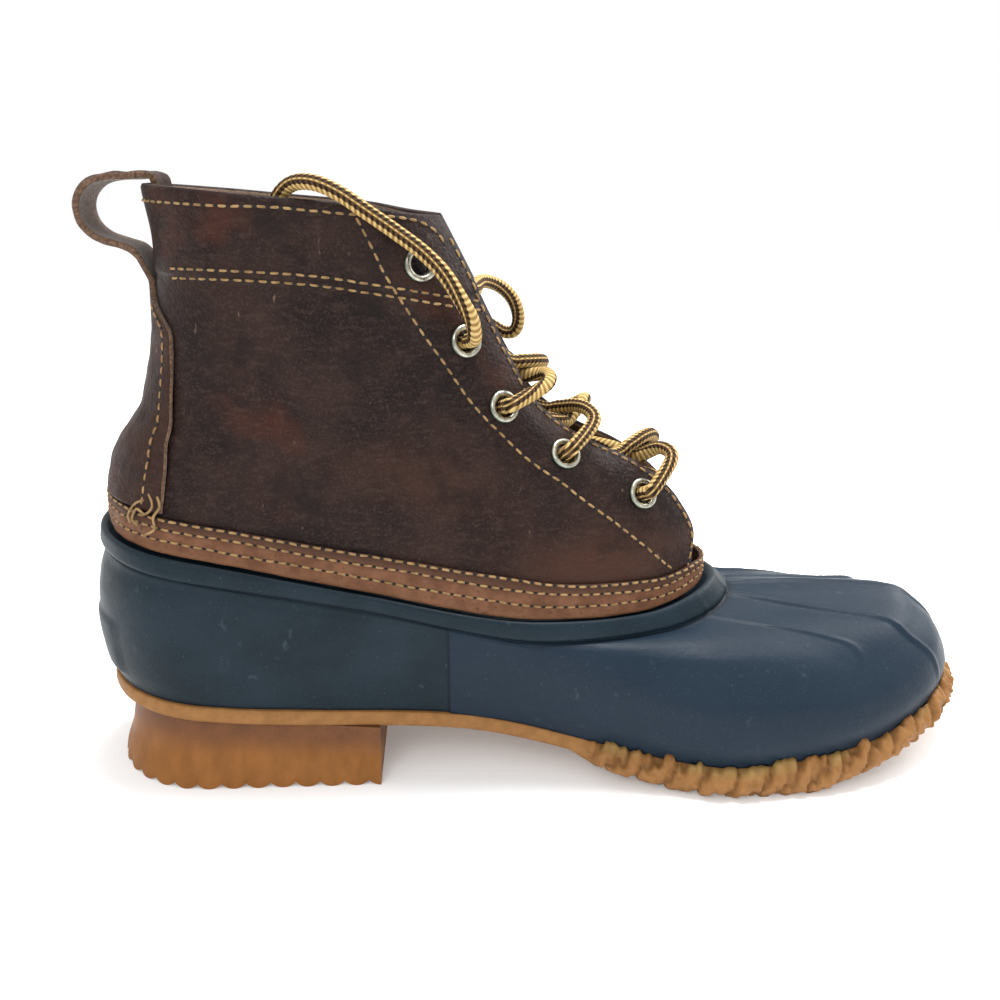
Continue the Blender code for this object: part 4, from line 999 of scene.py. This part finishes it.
def plan_normals(ring, side, station):
    small = 0.01
    _, x0, y0 = plan(ring, side, np.maximum(station - small, 0))
    _, x1, y1 = plan(ring, side, np.minimum(station + small, 3))
    normal = unit(np.stack([-side * (y1 - y0), side * (x1 - x0), 0 * x0], -1))
    normal = np.where((station <= small)[:, None], np.array([-1.0, 0, 0]), normal)
    return np.where((station >= 3 - small)[:, None], np.array([1.0, 0, 0]), normal)


def make_sole(finish):
    """Gum plate: edge strip and chain down both sides, and the underside between them."""
    feather = RUBBER[0]
    station, arc = edge_stations(feather, 0.00055)
    _, x, _ = plan(feather, -1, station)
    edges = [sole_edge(side, station, arc) for side in (-1, 1)]
    under, shaded_groove = sole_underside(x, [rim[:, -1] * np.array([1, 0.93, 1]) for rim, _, _ in edges])
    rims, shades, tints = zip(*edges)
    points = np.concatenate([rims[0], under, rims[1][:, ::-1]], 1)
    shade, tint = np.zeros((2,) + points.shape[:2])
    wide = rims[0].shape[1]
    shade[:, :wide], shade[:, -wide:] = shades[0], shades[1][:, ::-1]
    shade[:, wide:-wide] = 0.35 + 0.6 * shaded_groove
    tint[:, :wide], tint[:, -wide:] = tints[0], tints[1][:, ::-1]
    faces = grid_faces(len(points), points.shape[1], close_columns=True)
    piece("gum_sole", points, faces, [finish], ("outsole",),
          {"shade": np.clip(shade, 0, 1), "tint": tint}, weld=True)


def sole_edge(side, station, arc):
    """Points of one edge of the sole, with its painted shade and its paler tint, the tint partly a painted
    highlight on the knob tips.
    """
    feather = RUBBER[0]
    _, x, y = plan(feather, side, station)
    first = arc[np.searchsorted(x, along(TREAD_PLACES[1]))]
    chain = ease(arc - first, *CHAIN_STARTS)[:, None]
    top, bottom = sole_line(x) - SOLE_GAP, tread_line(x)
    v = np.concatenate([[0.0], np.linspace(0.02, 1, 15)])[None]
    normal = plan_normals(feather, side, station)
    wobble = 0.16 * np.sin(arc * 610 + side) + 0.09 * np.sin(arc * 1730)
    phase = ((arc - first) / CHAIN_PITCH + wobble)[:, None] + CHAIN_LEAN * (v - 0.5)
    which = np.floor(phase).astype(int) % len(KNOB_SIZES)
    big, high, pale = KNOB_SIZES[which], KNOB_RISES[which], KNOB_TINTS[which]
    knob = np.abs(np.sin(np.pi * (phase % 1) ** 0.8)) ** 0.55
    knot = np.abs(np.sin(2 * np.pi * phase + 0.7)) ** 0.8
    plain = EDGE_PROUD * (0.55 + 0.55 * np.sin(np.pi * v) ** 0.6)
    bulge = np.sin(np.pi * (0.02 + 0.83 * v)) ** 0.6
    lump = CHAIN_PROUD * bulge * (0.52 + (0.28 + 0.22 * big) * knob + 0.08 * knot)
    lump = np.where(v == 0, EDGE_PROUD * 0.5, lump)
    out = plain + chain * (lump - plain)
    hump = np.sin(np.pi * (phase % 1))
    rise = CHAIN_RISE * ((0.5 + 0.6 * high) * hump - CHAIN_DIP) * (1 - v) ** 1.2 * (v > 0)
    scallop = CHAIN_SCALLOP * (1 - knob) * ease(v, 0.45, 1.0)
    z = top[:, None] + (bottom - top)[:, None] * v + chain * (rise + scallop)
    out = out * (1 - 0.30 * chain * ease(v, 0.8, 1.0))
    base = np.stack(np.broadcast_arrays(x[:, None], y[:, None], z), -1)
    rim = base + out[..., None] * normal[:, None]
    rim += (chain * CREPE_GRAIN * ripple(rim, 0.0032, 11))[..., None] * normal[:, None]
    shade = np.clip(chain * (1 - knob) * 1.1, 0, 1) + 0.3 * ease(v, 0.75, 1.0)
    # the tint: knob tips paler towards the top, partly a painted highlight on the lit tips
    return rim, shade, chain * knob * pale * ease(v, 0.45, 0.06)


def sole_underside(x, edges):
    """Points between the two edges, and where the grooves between the lugs are."""
    feather = RUBBER[0]
    across = np.linspace(-1, 1, 43)[None]
    under = sheet_between(edges, across)
    under[..., 0] = x[:, None] + (under[..., 0] - x[:, None]) * np.abs(across) ** 4
    share = (under[..., 0] - along(feather.back)) / (along(feather.front) - along(feather.back))
    taper = np.sqrt(np.clip(1 - np.clip((share - 0.62) / 0.42, 0, None) ** 2, 0, None))
    reach = 0.43 * BALL_WIDTH * taper
    start, end = along(TREAD_PLACES[3]), along(TREAD_PLACES[8])
    zigzag = LUG_ZIGZAG * (2 * np.abs(((under[..., 1] / ZIGZAG_LENGTH) % 1) - 0.5) - 0.5)
    place = under[..., 0] - start - zigzag
    gap = np.abs(((place / LUG_PITCH) % 1) - 0.5) * LUG_PITCH
    shaded_groove = ease(gap, LUG_GROOVE / 2 + LUG_BEVEL, LUG_GROOVE / 2 - LUG_BEVEL)
    shaded_groove *= (place > 0) * (place < (end - start))
    shaded_groove *= ease(np.abs(under[..., 1]), reach, reach - 0.002)
    under[..., 2] = tread_line(under[..., 0]) + LUG_DEPTH * shaded_groove
    return under, shaded_groove


def make_heel(finish):
    back, heel_round = along(HEEL_ROWS[0][1]), HEEL_ROUND * LAST_LENGTH
    arc = math.pi / 2 * (heel_round + HEEL_ROWS[0][2] * BALL_WIDTH) / 2
    side_run = along(HEEL_BREAST) - back - heel_round
    lobes_arc, lobes_side = round(arc / SCALLOP_PITCH), round(side_run / SCALLOP_PITCH)
    place = np.concatenate([np.linspace(0, 1, lobes_arc * 14 + 1)[:-1],
                            np.linspace(1, 2, lobes_side * 14 + 1)])
    phase = np.where(place < 1, place * lobes_arc, (place - 1) * lobes_side)
    lobe = np.abs(np.cos(np.pi * phase)) ** 0.75
    share = np.concatenate([np.linspace(1, 0.16, 16), (0.12, 0.09, 0.06, 0.035, 0.015, 0.0)])[None]
    shares, backs, halves = zip(*HEEL_ROWS)
    rows_back, rows_half = smooth(shares, backs, share), smooth(shares, halves, share)
    turn = np.clip(place, 0, 1)[:, None] * math.pi / 2
    start = along(rows_back) + heel_round
    x = np.where(place[:, None] < 1, start - heel_round * np.cos(turn),
                 start + (place[:, None] - 1) * (along(HEEL_BREAST) - start))
    flute = FLUTE_DEPTH * (1 - lobe)[:, None] * ease(share, 0.17, 0.01)
    parts = []
    for side in (-1, 1):
        y = side * (rows_half * BALL_WIDTH - flute) * np.sin(turn)
        xx = x + flute * np.cos(turn)
        top = sole_line(xx) - PLATE_EDGE - HEEL_GAP
        low = SCALLOP_DEPTH * (1 - lobe)[:, None]
        z = share * top + low * ease(share, 0.20, 0.0)
        parts.append(np.stack(np.broadcast_arrays(xx, y, z), -1))
    inner = []
    for rim in parts:
        edge = rim[:, -1].copy()
        edge[:, 0] += (0.0 - edge[:, 0]) * 0.2 * (place < 1)
        edge[:, 1] *= 0.8
        edge[:, 2] = 0.0
        inner.append(edge)
    across = np.linspace(0, 1, 9)[None, :, None]
    under = inner[0][:, None] * (1 - across) + inner[1][:, None] * across
    points = np.concatenate([parts[0], under, parts[1][:, ::-1]], 1)
    height = np.zeros(points.shape[:2])
    wide = share.shape[1]
    height[:, :wide], height[:, -wide:] = share, share[:, ::-1]
    count = points.shape[1]
    faces = grid_faces(len(points), count, close_columns=True)
    last = (len(points) - 1) * count
    faces.append([last + k for k in range(count)])
    piece("heel", points, faces, [finish], ("heel_block",), {"height": height},
          angle=60, weld=True)


def make_footbed(finish):
    feather = RUBBER[0]
    station, _ = edge_stations(feather, 0.003)
    inset = 2 * RUBBER_WALL + 2 * CLEARANCE
    across = np.linspace(-1, 1, 19)[None]
    edges = []
    for side in (-1, 1):
        _, x, y = plan(feather, side, station)
        edges.append(np.stack([x, y, 0 * x], -1) - inset * plan_normals(feather, side, station))
    rows = []
    for raised in (True, False):
        sheet = sheet_between(edges, across * (0.99 if raised else 1.0))
        base = sole_line(sheet[..., 0]) + RUBBER_WALL + INSOLE_GAP
        cup = np.abs(across) ** 4 * INSOLE_CUP
        sheet[..., 2] = base + (INSOLE_THICKNESS - INSOLE_CUP + cup if raised else 0.0)
        rows.append(sheet)
    points = np.concatenate([rows[0], rows[1][:, ::-1]], 1)
    faces = grid_faces(len(points), points.shape[1], close_columns=True)
    piece("footbed", points, faces, [finish], ("insole",), weld=True)


# Leather
def cuff_level():
    rim = float(leather_point(float(RIM), -1, 1.5)[2])
    levels = np.linspace(0, RIM, 801)
    heights = leather_point(levels, -1, np.full(801, 1.5))[:, 2]
    return float(np.interp(rim - CUFF_DEPTH, heights, levels))


def make_quarters(finish, lining):
    cuff = cuff_level()
    step = cuff + np.array((-0.05, -0.02, 0.0, 0.02, 0.05))
    levels = np.concatenate([np.linspace(0, cuff - 0.08, 74), step,
                             np.linspace(cuff + 0.1, 7.88, 18), (7.93, 7.965, 7.99, 8.0)])
    half = np.concatenate([np.linspace(0, 2, 72), np.linspace(2, 2.965, 34)[1:], (2.98, 2.992, 3.0)])
    w = np.concatenate([-half[::-1], half[1:]])
    level, ww = np.meshgrid(levels, w, indexing="ij")
    side, column = np.where(ww < 0, -1.0, 1.0), np.abs(ww)
    round_rim = smooth((7.90, 7.965, 8.0), (0, 0.00012, 0.0007), level)
    round_edge = smooth((2.965, 2.98, 3.0), (0, 0.00015, EDGE_ROUNDING), column)
    rounding = np.maximum(round_rim, round_edge)
    flat = leather_column(level, side, column, 0 * level)
    facing = bell(level, 2.9, 1.3) * bell(column, 2.25, 0.5)
    creases = FACING_CREASES * facing * ripple(flat @ np.diag((1.0, 0.2, 0.6)), 0.007, 21)
    buckle = LEATHER_BUCKLES * ripple(flat, 0.045, 5) * ease(level, 0.8, 1.8) * ease(level, 8.0, 7.2)
    near_eyelets = ease(column, 2.3, 2.6)
    lift = CUFF_PROUD * ease(level, cuff - 0.03, cuff + 0.03)
    lift += creases + buckle * (1 - 0.8 * near_eyelets)
    outer = leather_column(level, side, column, lift - rounding)
    patch = Patch(levels, w, leather_column(level, side, column, lift), -1.0)
    inner = leather_column(level, side, column, -LEATHER_WALL + rounding)
    points = np.concatenate([outer, inner[::-1]])
    rows, count = len(points), len(w)
    faces = sheet_faces(rows, count)
    zones = np.zeros(len(faces), int)
    body = rows * (count - 1)
    row = np.arange(rows)
    zones[:body] = np.repeat((row >= len(levels) + 2) & (row < rows - 1), count - 1)
    edge = np.clip(rounding / 0.0006, 0, 1) * 0.35
    warm = bell(level, 1.2, 0.9) * bell(column, 2.35, 0.45)
    warm += 0.6 * bell(level, 3.3, 1.0) * bell(column, 1.7, 0.35)
    values = {"edge": np.concatenate([edge, edge[::-1]]),
              "warm": np.concatenate([np.clip(warm, 0, 1), 0 * warm])}
    quarters = piece("leather_quarters", points, faces, [finish, lining], ("upper",),
                     values, zones, angle=50)
    cut_eyelet_holes(quarters, finish)
    return patch


def cut_eyelet_holes(quarters, finish):
    cutter_points, cutter_faces = [], []
    for side in (-1, 1):
        for lvl, inset in EYELETS:
            place, normal = eyelet_frame(lvl, inset, side)
            spokes = turn_about(normal, 24)
            start = len(cutter_points)
            for height in (-CUTTER_REACH, CUTTER_REACH):
                cutter_points += [place + (EYELET_BARREL - 0.0001) * s + height * normal for s in spokes]
            ring = np.arange(start, start + 24)
            cutter_faces += [ring[::-1].tolist(), (ring + 24).tolist()]
            cutter_faces += grid_faces(2, 24, close_columns=True, start=start)
    cutter = piece("eyelet_cutter", cutter_points, cutter_faces, [finish])
    holes = quarters.modifiers.new("holes", "BOOLEAN")
    holes.operation, holes.solver, holes.object = "DIFFERENCE", "EXACT", cutter
    bpy.context.view_layer.update()
    graph = bpy.context.evaluated_depsgraph_get()
    cut = bpy.data.meshes.new_from_object(quarters.evaluated_get(graph))
    quarters.modifiers.clear()
    quarters.data = cut
    bpy.data.objects.remove(cutter)


def turn_about(normal, count):
    normal = Vector(normal)
    across = np.array(normal.orthogonal().normalized())
    other = np.cross(np.array(normal), across)
    return [math.cos(a) * across + math.sin(a) * other for a in 2 * np.pi * np.arange(count) / count]


def eyelet_frame(level, inset, side):
    ring = ring_at(LEATHER, level)
    station = station_at_width(ring, (ring.line_a + inset) * BALL_WIDTH)
    return (leather_point(level, side, station),
            outward(leather_point, level, side, station, float(RIM)))


def make_eyelets(finish):
    for name, side in (("medial", -1), ("lateral", 1)):
        for number, (level, inset) in enumerate(EYELETS, start=1):
            place, normal = eyelet_frame(level, inset, side)
            face = (CUFF_PROUD if number == 1 else 0.0) + 0.0001
            profile = [(EYELET_BORE, -LEATHER_WALL), (EYELET_BORE, face)]
            profile += [(r, face + rise) for r, rise in EYELET_ROLL]
            profile += [(EYELET_BARREL, face - 0.0002), (EYELET_BARREL, -LEATHER_WALL)]
            profile += [(r, -LEATHER_WALL - drop) for r, drop in EYELET_CLINCH]
            spokes = turn_about(normal, 40)
            points = np.array([[place + r * s + h * normal for r, h in profile] for s in spokes])
            rim = np.broadcast_to(np.array([r for r, _ in profile]) / EYELET_FLANGE, points.shape[:2])
            faces = grid_faces(40, len(profile), close_rows=True, close_columns=True)
            piece(f"ring_{name}_{number}", points, faces, [finish],
                  (f"eyelet_{name}_{number}",), {"rim": rim})


def make_band(finish):
    half = np.concatenate([np.linspace(0, 2, 110), np.linspace(2, 3, 46)[1:], np.linspace(3, 4, 34)[1:]])
    side, column = around(half)
    shares = np.concatenate([(0.03, 0.012, 0.02, 0.05), np.linspace(0.1, 0.93, 18),
                             (0.965, 0.99, 1.0, 0.985)])
    lifts = np.concatenate([(0.35, 0.6, 0.85, 0.97), np.ones(18), (0.97, 0.85, 0.6, 0.3)])
    share, cc = np.meshgrid(shares, column, indexing="ij")
    ss = np.broadcast_to(side, share.shape)
    level = level_above_lip(ss, cc, share * BAND_HEIGHT)
    puff = sum(bell(share, row, 0.045) for row, _ in BAND_ROWS)
    flat = leather_column(level, ss, cc, 0 * level)
    lift = CLEARANCE + BAND_WALL * lifts[:, None] - BAND_PUFF * puff
    lift += BAND_WAVES * ripple(flat, 0.009, 31)
    outer = leather_column(level, ss, cc, lift)
    back = leather_column(level[::5], ss[::5], cc[::5], np.full(level[::5].shape, CLEARANCE / 2))
    points = np.concatenate([outer, back[::-1]])
    faces = grid_faces(len(points), len(column), close_rows=True, close_columns=True)
    height = np.concatenate([share, share[::5][::-1]])
    piece("seam_strip", points, faces, [finish], ("seam_band",), {"height": height})
    order = np.argsort(shares[3:23])
    closed = np.concatenate([outer[3:23][order], outer[3:23][order][:, :1]], 1)
    return Patch(shares[3:23][order], np.arange(len(column) + 1.0), closed, 1.0)


def make_tongue(finish):
    levels = np.linspace(0.25, 7.70, 70)
    half = np.concatenate([np.linspace(2.0, 2.3, 12), np.linspace(2.3, 4.0, 30)[1:]])
    side = np.concatenate([-np.ones(len(half)), np.ones(len(half) - 1)])
    column = np.concatenate([half, half[-2::-1]])
    level, cc = np.meshgrid(levels, column, indexing="ij")
    ss = np.broadcast_to(side, level.shape)
    beyond = np.clip((2.22 - cc) / 0.22, 0, 1)
    low = np.clip(2.6 - level, 0, 1) * (FLANGE_WALL + CLEARANCE)
    gutter = (LACE_DIAMETER + 4 * CLEARANCE) * (1 - beyond) * np.minimum(1.0, level / 2.0)
    inset = LEATHER_WALL + CLEARANCE + low + gutter
    puff = TONGUE_WAVES * ripple(leather_column(level, ss, cc, 0 * level), 0.02, 41)
    rounding = smooth((7.5, 7.62, 7.70), (0, 0.0001, EDGE_ROUNDING), level)
    outer = leather_column(level, ss, cc, -inset + np.minimum(puff, 0.0) - rounding)
    inner = leather_column(level, ss, cc, -inset - TONGUE_WALL + rounding)
    points = np.concatenate([outer, inner[::-1]])
    blank = np.zeros(points.shape[:2])
    piece("tongue_leather", points, sheet_faces(len(points), len(column)), [finish],
          ("tongue",), {"edge": blank + 0.3, "warm": blank}, angle=50)


def make_loop(finish, raw, leather):
    """Strap from inside the collar, over the rim, out to the loop and down the back seam."""
    rim = leather_point(float(RIM), -1, 0.0)
    shares = np.concatenate([[-1.0, -0.985], np.linspace(-0.95, 0.95, 21), [0.985, 1.0]])
    thin = np.concatenate([[0.35, 0.85], np.ones(21), [0.85, 0.35]])
    radius = LEATHER[RIM].heel * BALL_WIDTH
    line = smooth_route([(rim[0] + LOOP_REACH * a, 0.0, rim[2] + LOOP_REACH * b) for a, b in LOOP], 0.0009)
    run = np.gradient(line, axis=0)
    normal = unit(np.stack([run[:, 2], 0 * run[:, 0], -run[:, 0]], -1))
    away = np.clip((rim[0] - line[:, 0]) / LOOP_REACH, 0, 1)[:, None]
    y = shares[None] * STRAP_WIDTH / 2
    sag = (1 - 0.6 * away) * y * y / (2 * radius)
    centre = line[:, None] + np.stack(np.broadcast_arrays(sag, y, 0 * sag), -1)
    out = normal[:, None] * (STRAP_WALL / 2 * thin)[None, :, None]
    outer, inner = centre - out, centre + out
    goal = rim[2] - CUFF_DEPTH - STAY_BELOW_CUFF
    levels = np.linspace(0, RIM, 801)
    heights = leather_point(levels, -1, 0 * levels)[:, 2]
    top = np.interp(goal, heights, levels)
    foot = float(level_above_lip(np.array([-1.0]), np.array([0.0]), BAND_HEIGHT + CLEARANCE)[0])
    down = np.linspace(top, foot, 76)
    level, share = np.meshgrid(down, shares, indexing="ij")
    half = BALL_WIDTH * ring_at(LEATHER, level).heel
    spread = ease(level, top, top - 0.7)
    stay = on_patch(leather, STAY_EDGE, (-1.9, -0.05))[::-1]
    edge = np.arcsin(STRAP_WIDTH / 2 / half) / (math.pi / 2)
    edge += spread * (smooth(stay[:, 0], -stay[:, 1], level) - edge)
    wall = STRAP_WALL + (STAY_WALL - STRAP_WALL) * spread
    side = np.where(share < 0, -1.0, 1.0)
    middle = CLEARANCE + wall / 2
    low_outer = skin(leather_point, level, side, np.abs(share) * edge, middle - wall / 2 * thin)
    low_inner = skin(leather_point, level, side, np.abs(share) * edge, middle + wall / 2 * thin)
    outer, inner = np.concatenate([outer, low_outer]), np.concatenate([inner, low_inner])
    worn = WORN_EDGE * ripple(inner, 0.006, 51)[..., None] * unit(inner - outer)
    points = np.concatenate([outer, (inner + worn)[:, ::-1]], 1)
    count = points.shape[1]
    faces = grid_faces(len(points), count, close_columns=True)
    for start in (0, (len(points) - 1) * count):
        faces += cap_faces(range(start, start + count))
    zones = np.zeros(len(faces), int)
    pattern = np.zeros(count, int)
    pattern[len(shares) + 1:count - 2] = 1
    zones[:(len(points) - 1) * count] = np.tile(1 - pattern, len(points) - 1)
    flip = len(line)
    zones[:flip * count] = np.tile(np.where(np.arange(count) < len(shares) - 1, 1, 1 - pattern), flip)
    blank = np.zeros(points.shape[:2])
    piece("pull_strap", points, faces, [finish, raw], ("backstay_loop",),
          {"edge": blank, "warm": blank + 0.5}, zones, weld=True)
    return Patch(np.arange(76.0), shares[2:-2], low_inner[:, 2:-2], 1.0)


# Stitches
STITCHES, HOLES, LOOSE = [], [], []
STITCH_RINGS = np.array((0.0, 0.10, 0.30, 0.70, 0.90, 1.0))
STITCH_ARCH = np.array((0, 0.55, 1, 1, 0.55, 0))
STITCH_FULLNESS = np.array((0.45, 0.8, 1.0, 1.0, 0.8, 0.45))
STITCH_SLANT = 0.00008


def capsules(points, normals, pitch, start, length, radius, raise_ends, raise_middle):
    """Short tubes along a line on a surface, as (count, rings, sides) points."""
    run = lengths(points)
    begin = np.arange(start, run[-1] - length, pitch)
    begin = begin + RANDOM.normal(0, pitch * 0.02, len(begin))
    at = begin[:, None] + STITCH_RINGS * length
    read = lambda table: np.stack([np.interp(at, run, table[:, k]) for k in range(3)], -1)
    centre, normal = read(points), unit(read(normals))
    lift = raise_ends + (raise_middle - raise_ends) * STITCH_ARCH
    size = radius * STITCH_FULLNESS
    tangent = unit(np.gradient(centre, axis=1))
    across = unit(np.cross(tangent, normal))
    slant = RANDOM.normal(0, STITCH_SLANT, (len(begin), 1, 1)) * np.linspace(-1, 1, 6)[None, :, None]
    centre = centre + lift[None, :, None] * normal + slant * across
    turn = 2 * np.pi * np.arange(8) / 8
    wide = size[None, :, None, None]
    return centre[:, :, None] + wide * (np.cos(turn)[:, None] * normal[:, :, None]
                                        + np.sin(turn)[:, None] * across[:, :, None])


def seam(patch, rows, columns, start=0.0, pitch=STITCH_PITCH):
    """A row of stitches along a line on a patch, with a sunk near-black capsule between each two as painted
    shade for the needle hole.
    """
    rows, columns = np.broadcast_arrays(np.asarray(rows, float), np.asarray(columns, float))
    dense = np.linspace(0, len(rows) - 1, len(rows) * 24)
    points, normals = patch.at(smooth_read(dense, rows), smooth_read(dense, columns))
    r = THREAD_RADIUS
    STITCHES.append(capsules(points, normals, pitch, start, STITCH_LENGTH, r, -0.5 * r, 0.35 * r))
    gap = start + STITCH_LENGTH + (pitch - STITCH_LENGTH) / 2 - HOLE_LENGTH / 2
    HOLES.append(capsules(points, normals, pitch, gap, HOLE_LENGTH, HOLE_RADIUS, -0.75 * HOLE_RADIUS,
                          -0.58 * HOLE_RADIUS))


def smooth_read(at, values):
    """Values read on a smooth curve at fractions of their count."""
    ends = np.concatenate([values[:1], values, values[-1:]])
    i = np.minimum(at.astype(int), len(values) - 2)
    return bend(*(ends[i + k] for k in range(4)), at - i)


def join_capsules(name, groups, finish):
    all_points = np.concatenate(groups)
    count, rings, sides = all_points.shape[:3]
    one = tube_faces(rings, sides)
    faces = [[i + k * rings * sides for i in face] for k in range(count) for face in one]
    piece(name, all_points, faces, [finish])


def make_thread_end(route, finish):
    """A loose end of thread that curls away from the seam."""
    path = smooth_route(route, 0.0004)
    tangents = unit(np.gradient(path, axis=0))
    across = unit(np.cross(tangents, (0.1, 1.0, 0.3)))
    other = np.cross(tangents, across)
    turn = (2 * np.pi * np.arange(8) / 8)[:, None]
    spokes = np.cos(turn) * across[:, None] + np.sin(turn) * other[:, None]
    points = path[:, None] + THREAD_RADIUS * spokes
    name = f"loose_thread_{len(LOOSE) + 1}"
    LOOSE.append(piece(name, points, tube_faces(len(path), 8), [finish]))


def make_seams(leather, band, strap):
    inner = (-3.0, -0.05)
    top = on_patch(leather, TOP_LINE, inner)
    cuff = on_patch(leather, CUFF_LINE, inner)
    cuff_low = on_patch(leather, [(x, y + CUFF_ROW_STEP) for x, y in CUFF_LINE], inner)
    facing = on_patch(leather, FACING_LINE, inner)
    down = np.linspace(7.62, 0.40, 24)
    inset = FRONT_ROW_INSET / BALL_WIDTH
    edge = np.array([(lvl, -float(eyelet_column(lvl, inset))) for lvl in down])
    for side in (1, -1):
        for line, start in ((top, 0.001), (cuff, 0.0), (cuff_low, 0.0012), (facing, 0.0), (edge, 0.0)):
            seam(leather, line[:, 0], side * line[:, 1], start)
    for row, start in BAND_ROWS:
        wave = row + 0.012 * np.sin(np.arange(120) * 0.7 + row * 9)
        seam(band, wave, np.linspace(0.5, band.columns[-1] - 0.5, 120), start * STITCH_PITCH)
    for share in (-STAY_ROW, STAY_ROW):
        seam(strap, np.linspace(4, 75, 12), np.full(12, share))
    thread = thread_finish("seam_thread", (0.33, 0.21, 0.095), (0.19, 0.115, 0.050))
    for line in LOOSE_ENDS:
        at = on_patch(leather, line, (-1.9, -0.02))
        points, normals = leather.at(at[:, 0], at[:, 1])
        lift = np.linspace(STAY_WALL, LOOSE_LIFT, len(points))[:, None]
        make_thread_end(points + lift * normals, thread)
    join_capsules("seam_stitches", STITCHES, thread)
    join_capsules("shaded_stitch_holes", HOLES, hole_shade_finish())


# Floor and light
def make_stage():
    m = Finish("floor", (0.88, 0.88, 0.88), 0.8, Emission_Color=(1, 1, 1, 1), Emission_Strength=0.16,
               Specular_IOR_Level=0.1)
    m.base = m.mix(m.noise(0.4), (0.87, 0.87, 0.87), (0.89, 0.89, 0.89))
    m.painted()
    mesh = bpy.data.meshes.new("floor")
    reach = 4.0
    mesh.from_pydata([(-reach, -reach, 0), (reach, -reach, 0), (reach, reach, 0), (-reach, reach, 0)],
                     [], [(0, 1, 2, 3)])
    mesh.materials.append(m.material)
    floor = bpy.data.objects.new("floor", mesh)
    bpy.context.scene.collection.objects.link(floor)
    bpy.context.scene.view_settings.view_transform = "Standard"
    world = bpy.data.worlds.new("studio")
    bpy.context.scene.world = world
    world.use_nodes = True
    world.node_tree.nodes["Background"].inputs["Color"].default_value = (1.0, 1.0, 1.0, 1.0)
    world.node_tree.nodes["Background"].inputs["Strength"].default_value = 1.0
    for name, place, aim, size, power in LAMPS:
        data = bpy.data.lights.new(name, "AREA")
        data.size, data.energy = size, power
        lamp = bpy.data.objects.new(name, data)
        lamp.location = place
        lamp.rotation_euler = (Vector(aim) - Vector(place)).to_track_quat("-Z", "Y").to_euler()
        bpy.context.scene.collection.objects.link(lamp)


def main():
    make_camera()
    make_laces()
    leather, raw, lining = leather_finish(), suede_finish(), lining_finish()
    rubber, gum = rubber_finish(), gum_finish()
    make_shell(rubber)
    make_sole(gum)
    make_heel(heel_finish())
    make_footbed(board_finish())
    leather_patch = make_quarters(leather, lining)
    make_tongue(leather)
    band_patch = make_band(band_finish())
    strap_patch = make_loop(leather, raw, leather_patch)
    make_eyelets(metal_finish())
    make_seams(leather_patch, band_patch, strap_patch)
    make_stage()


main()
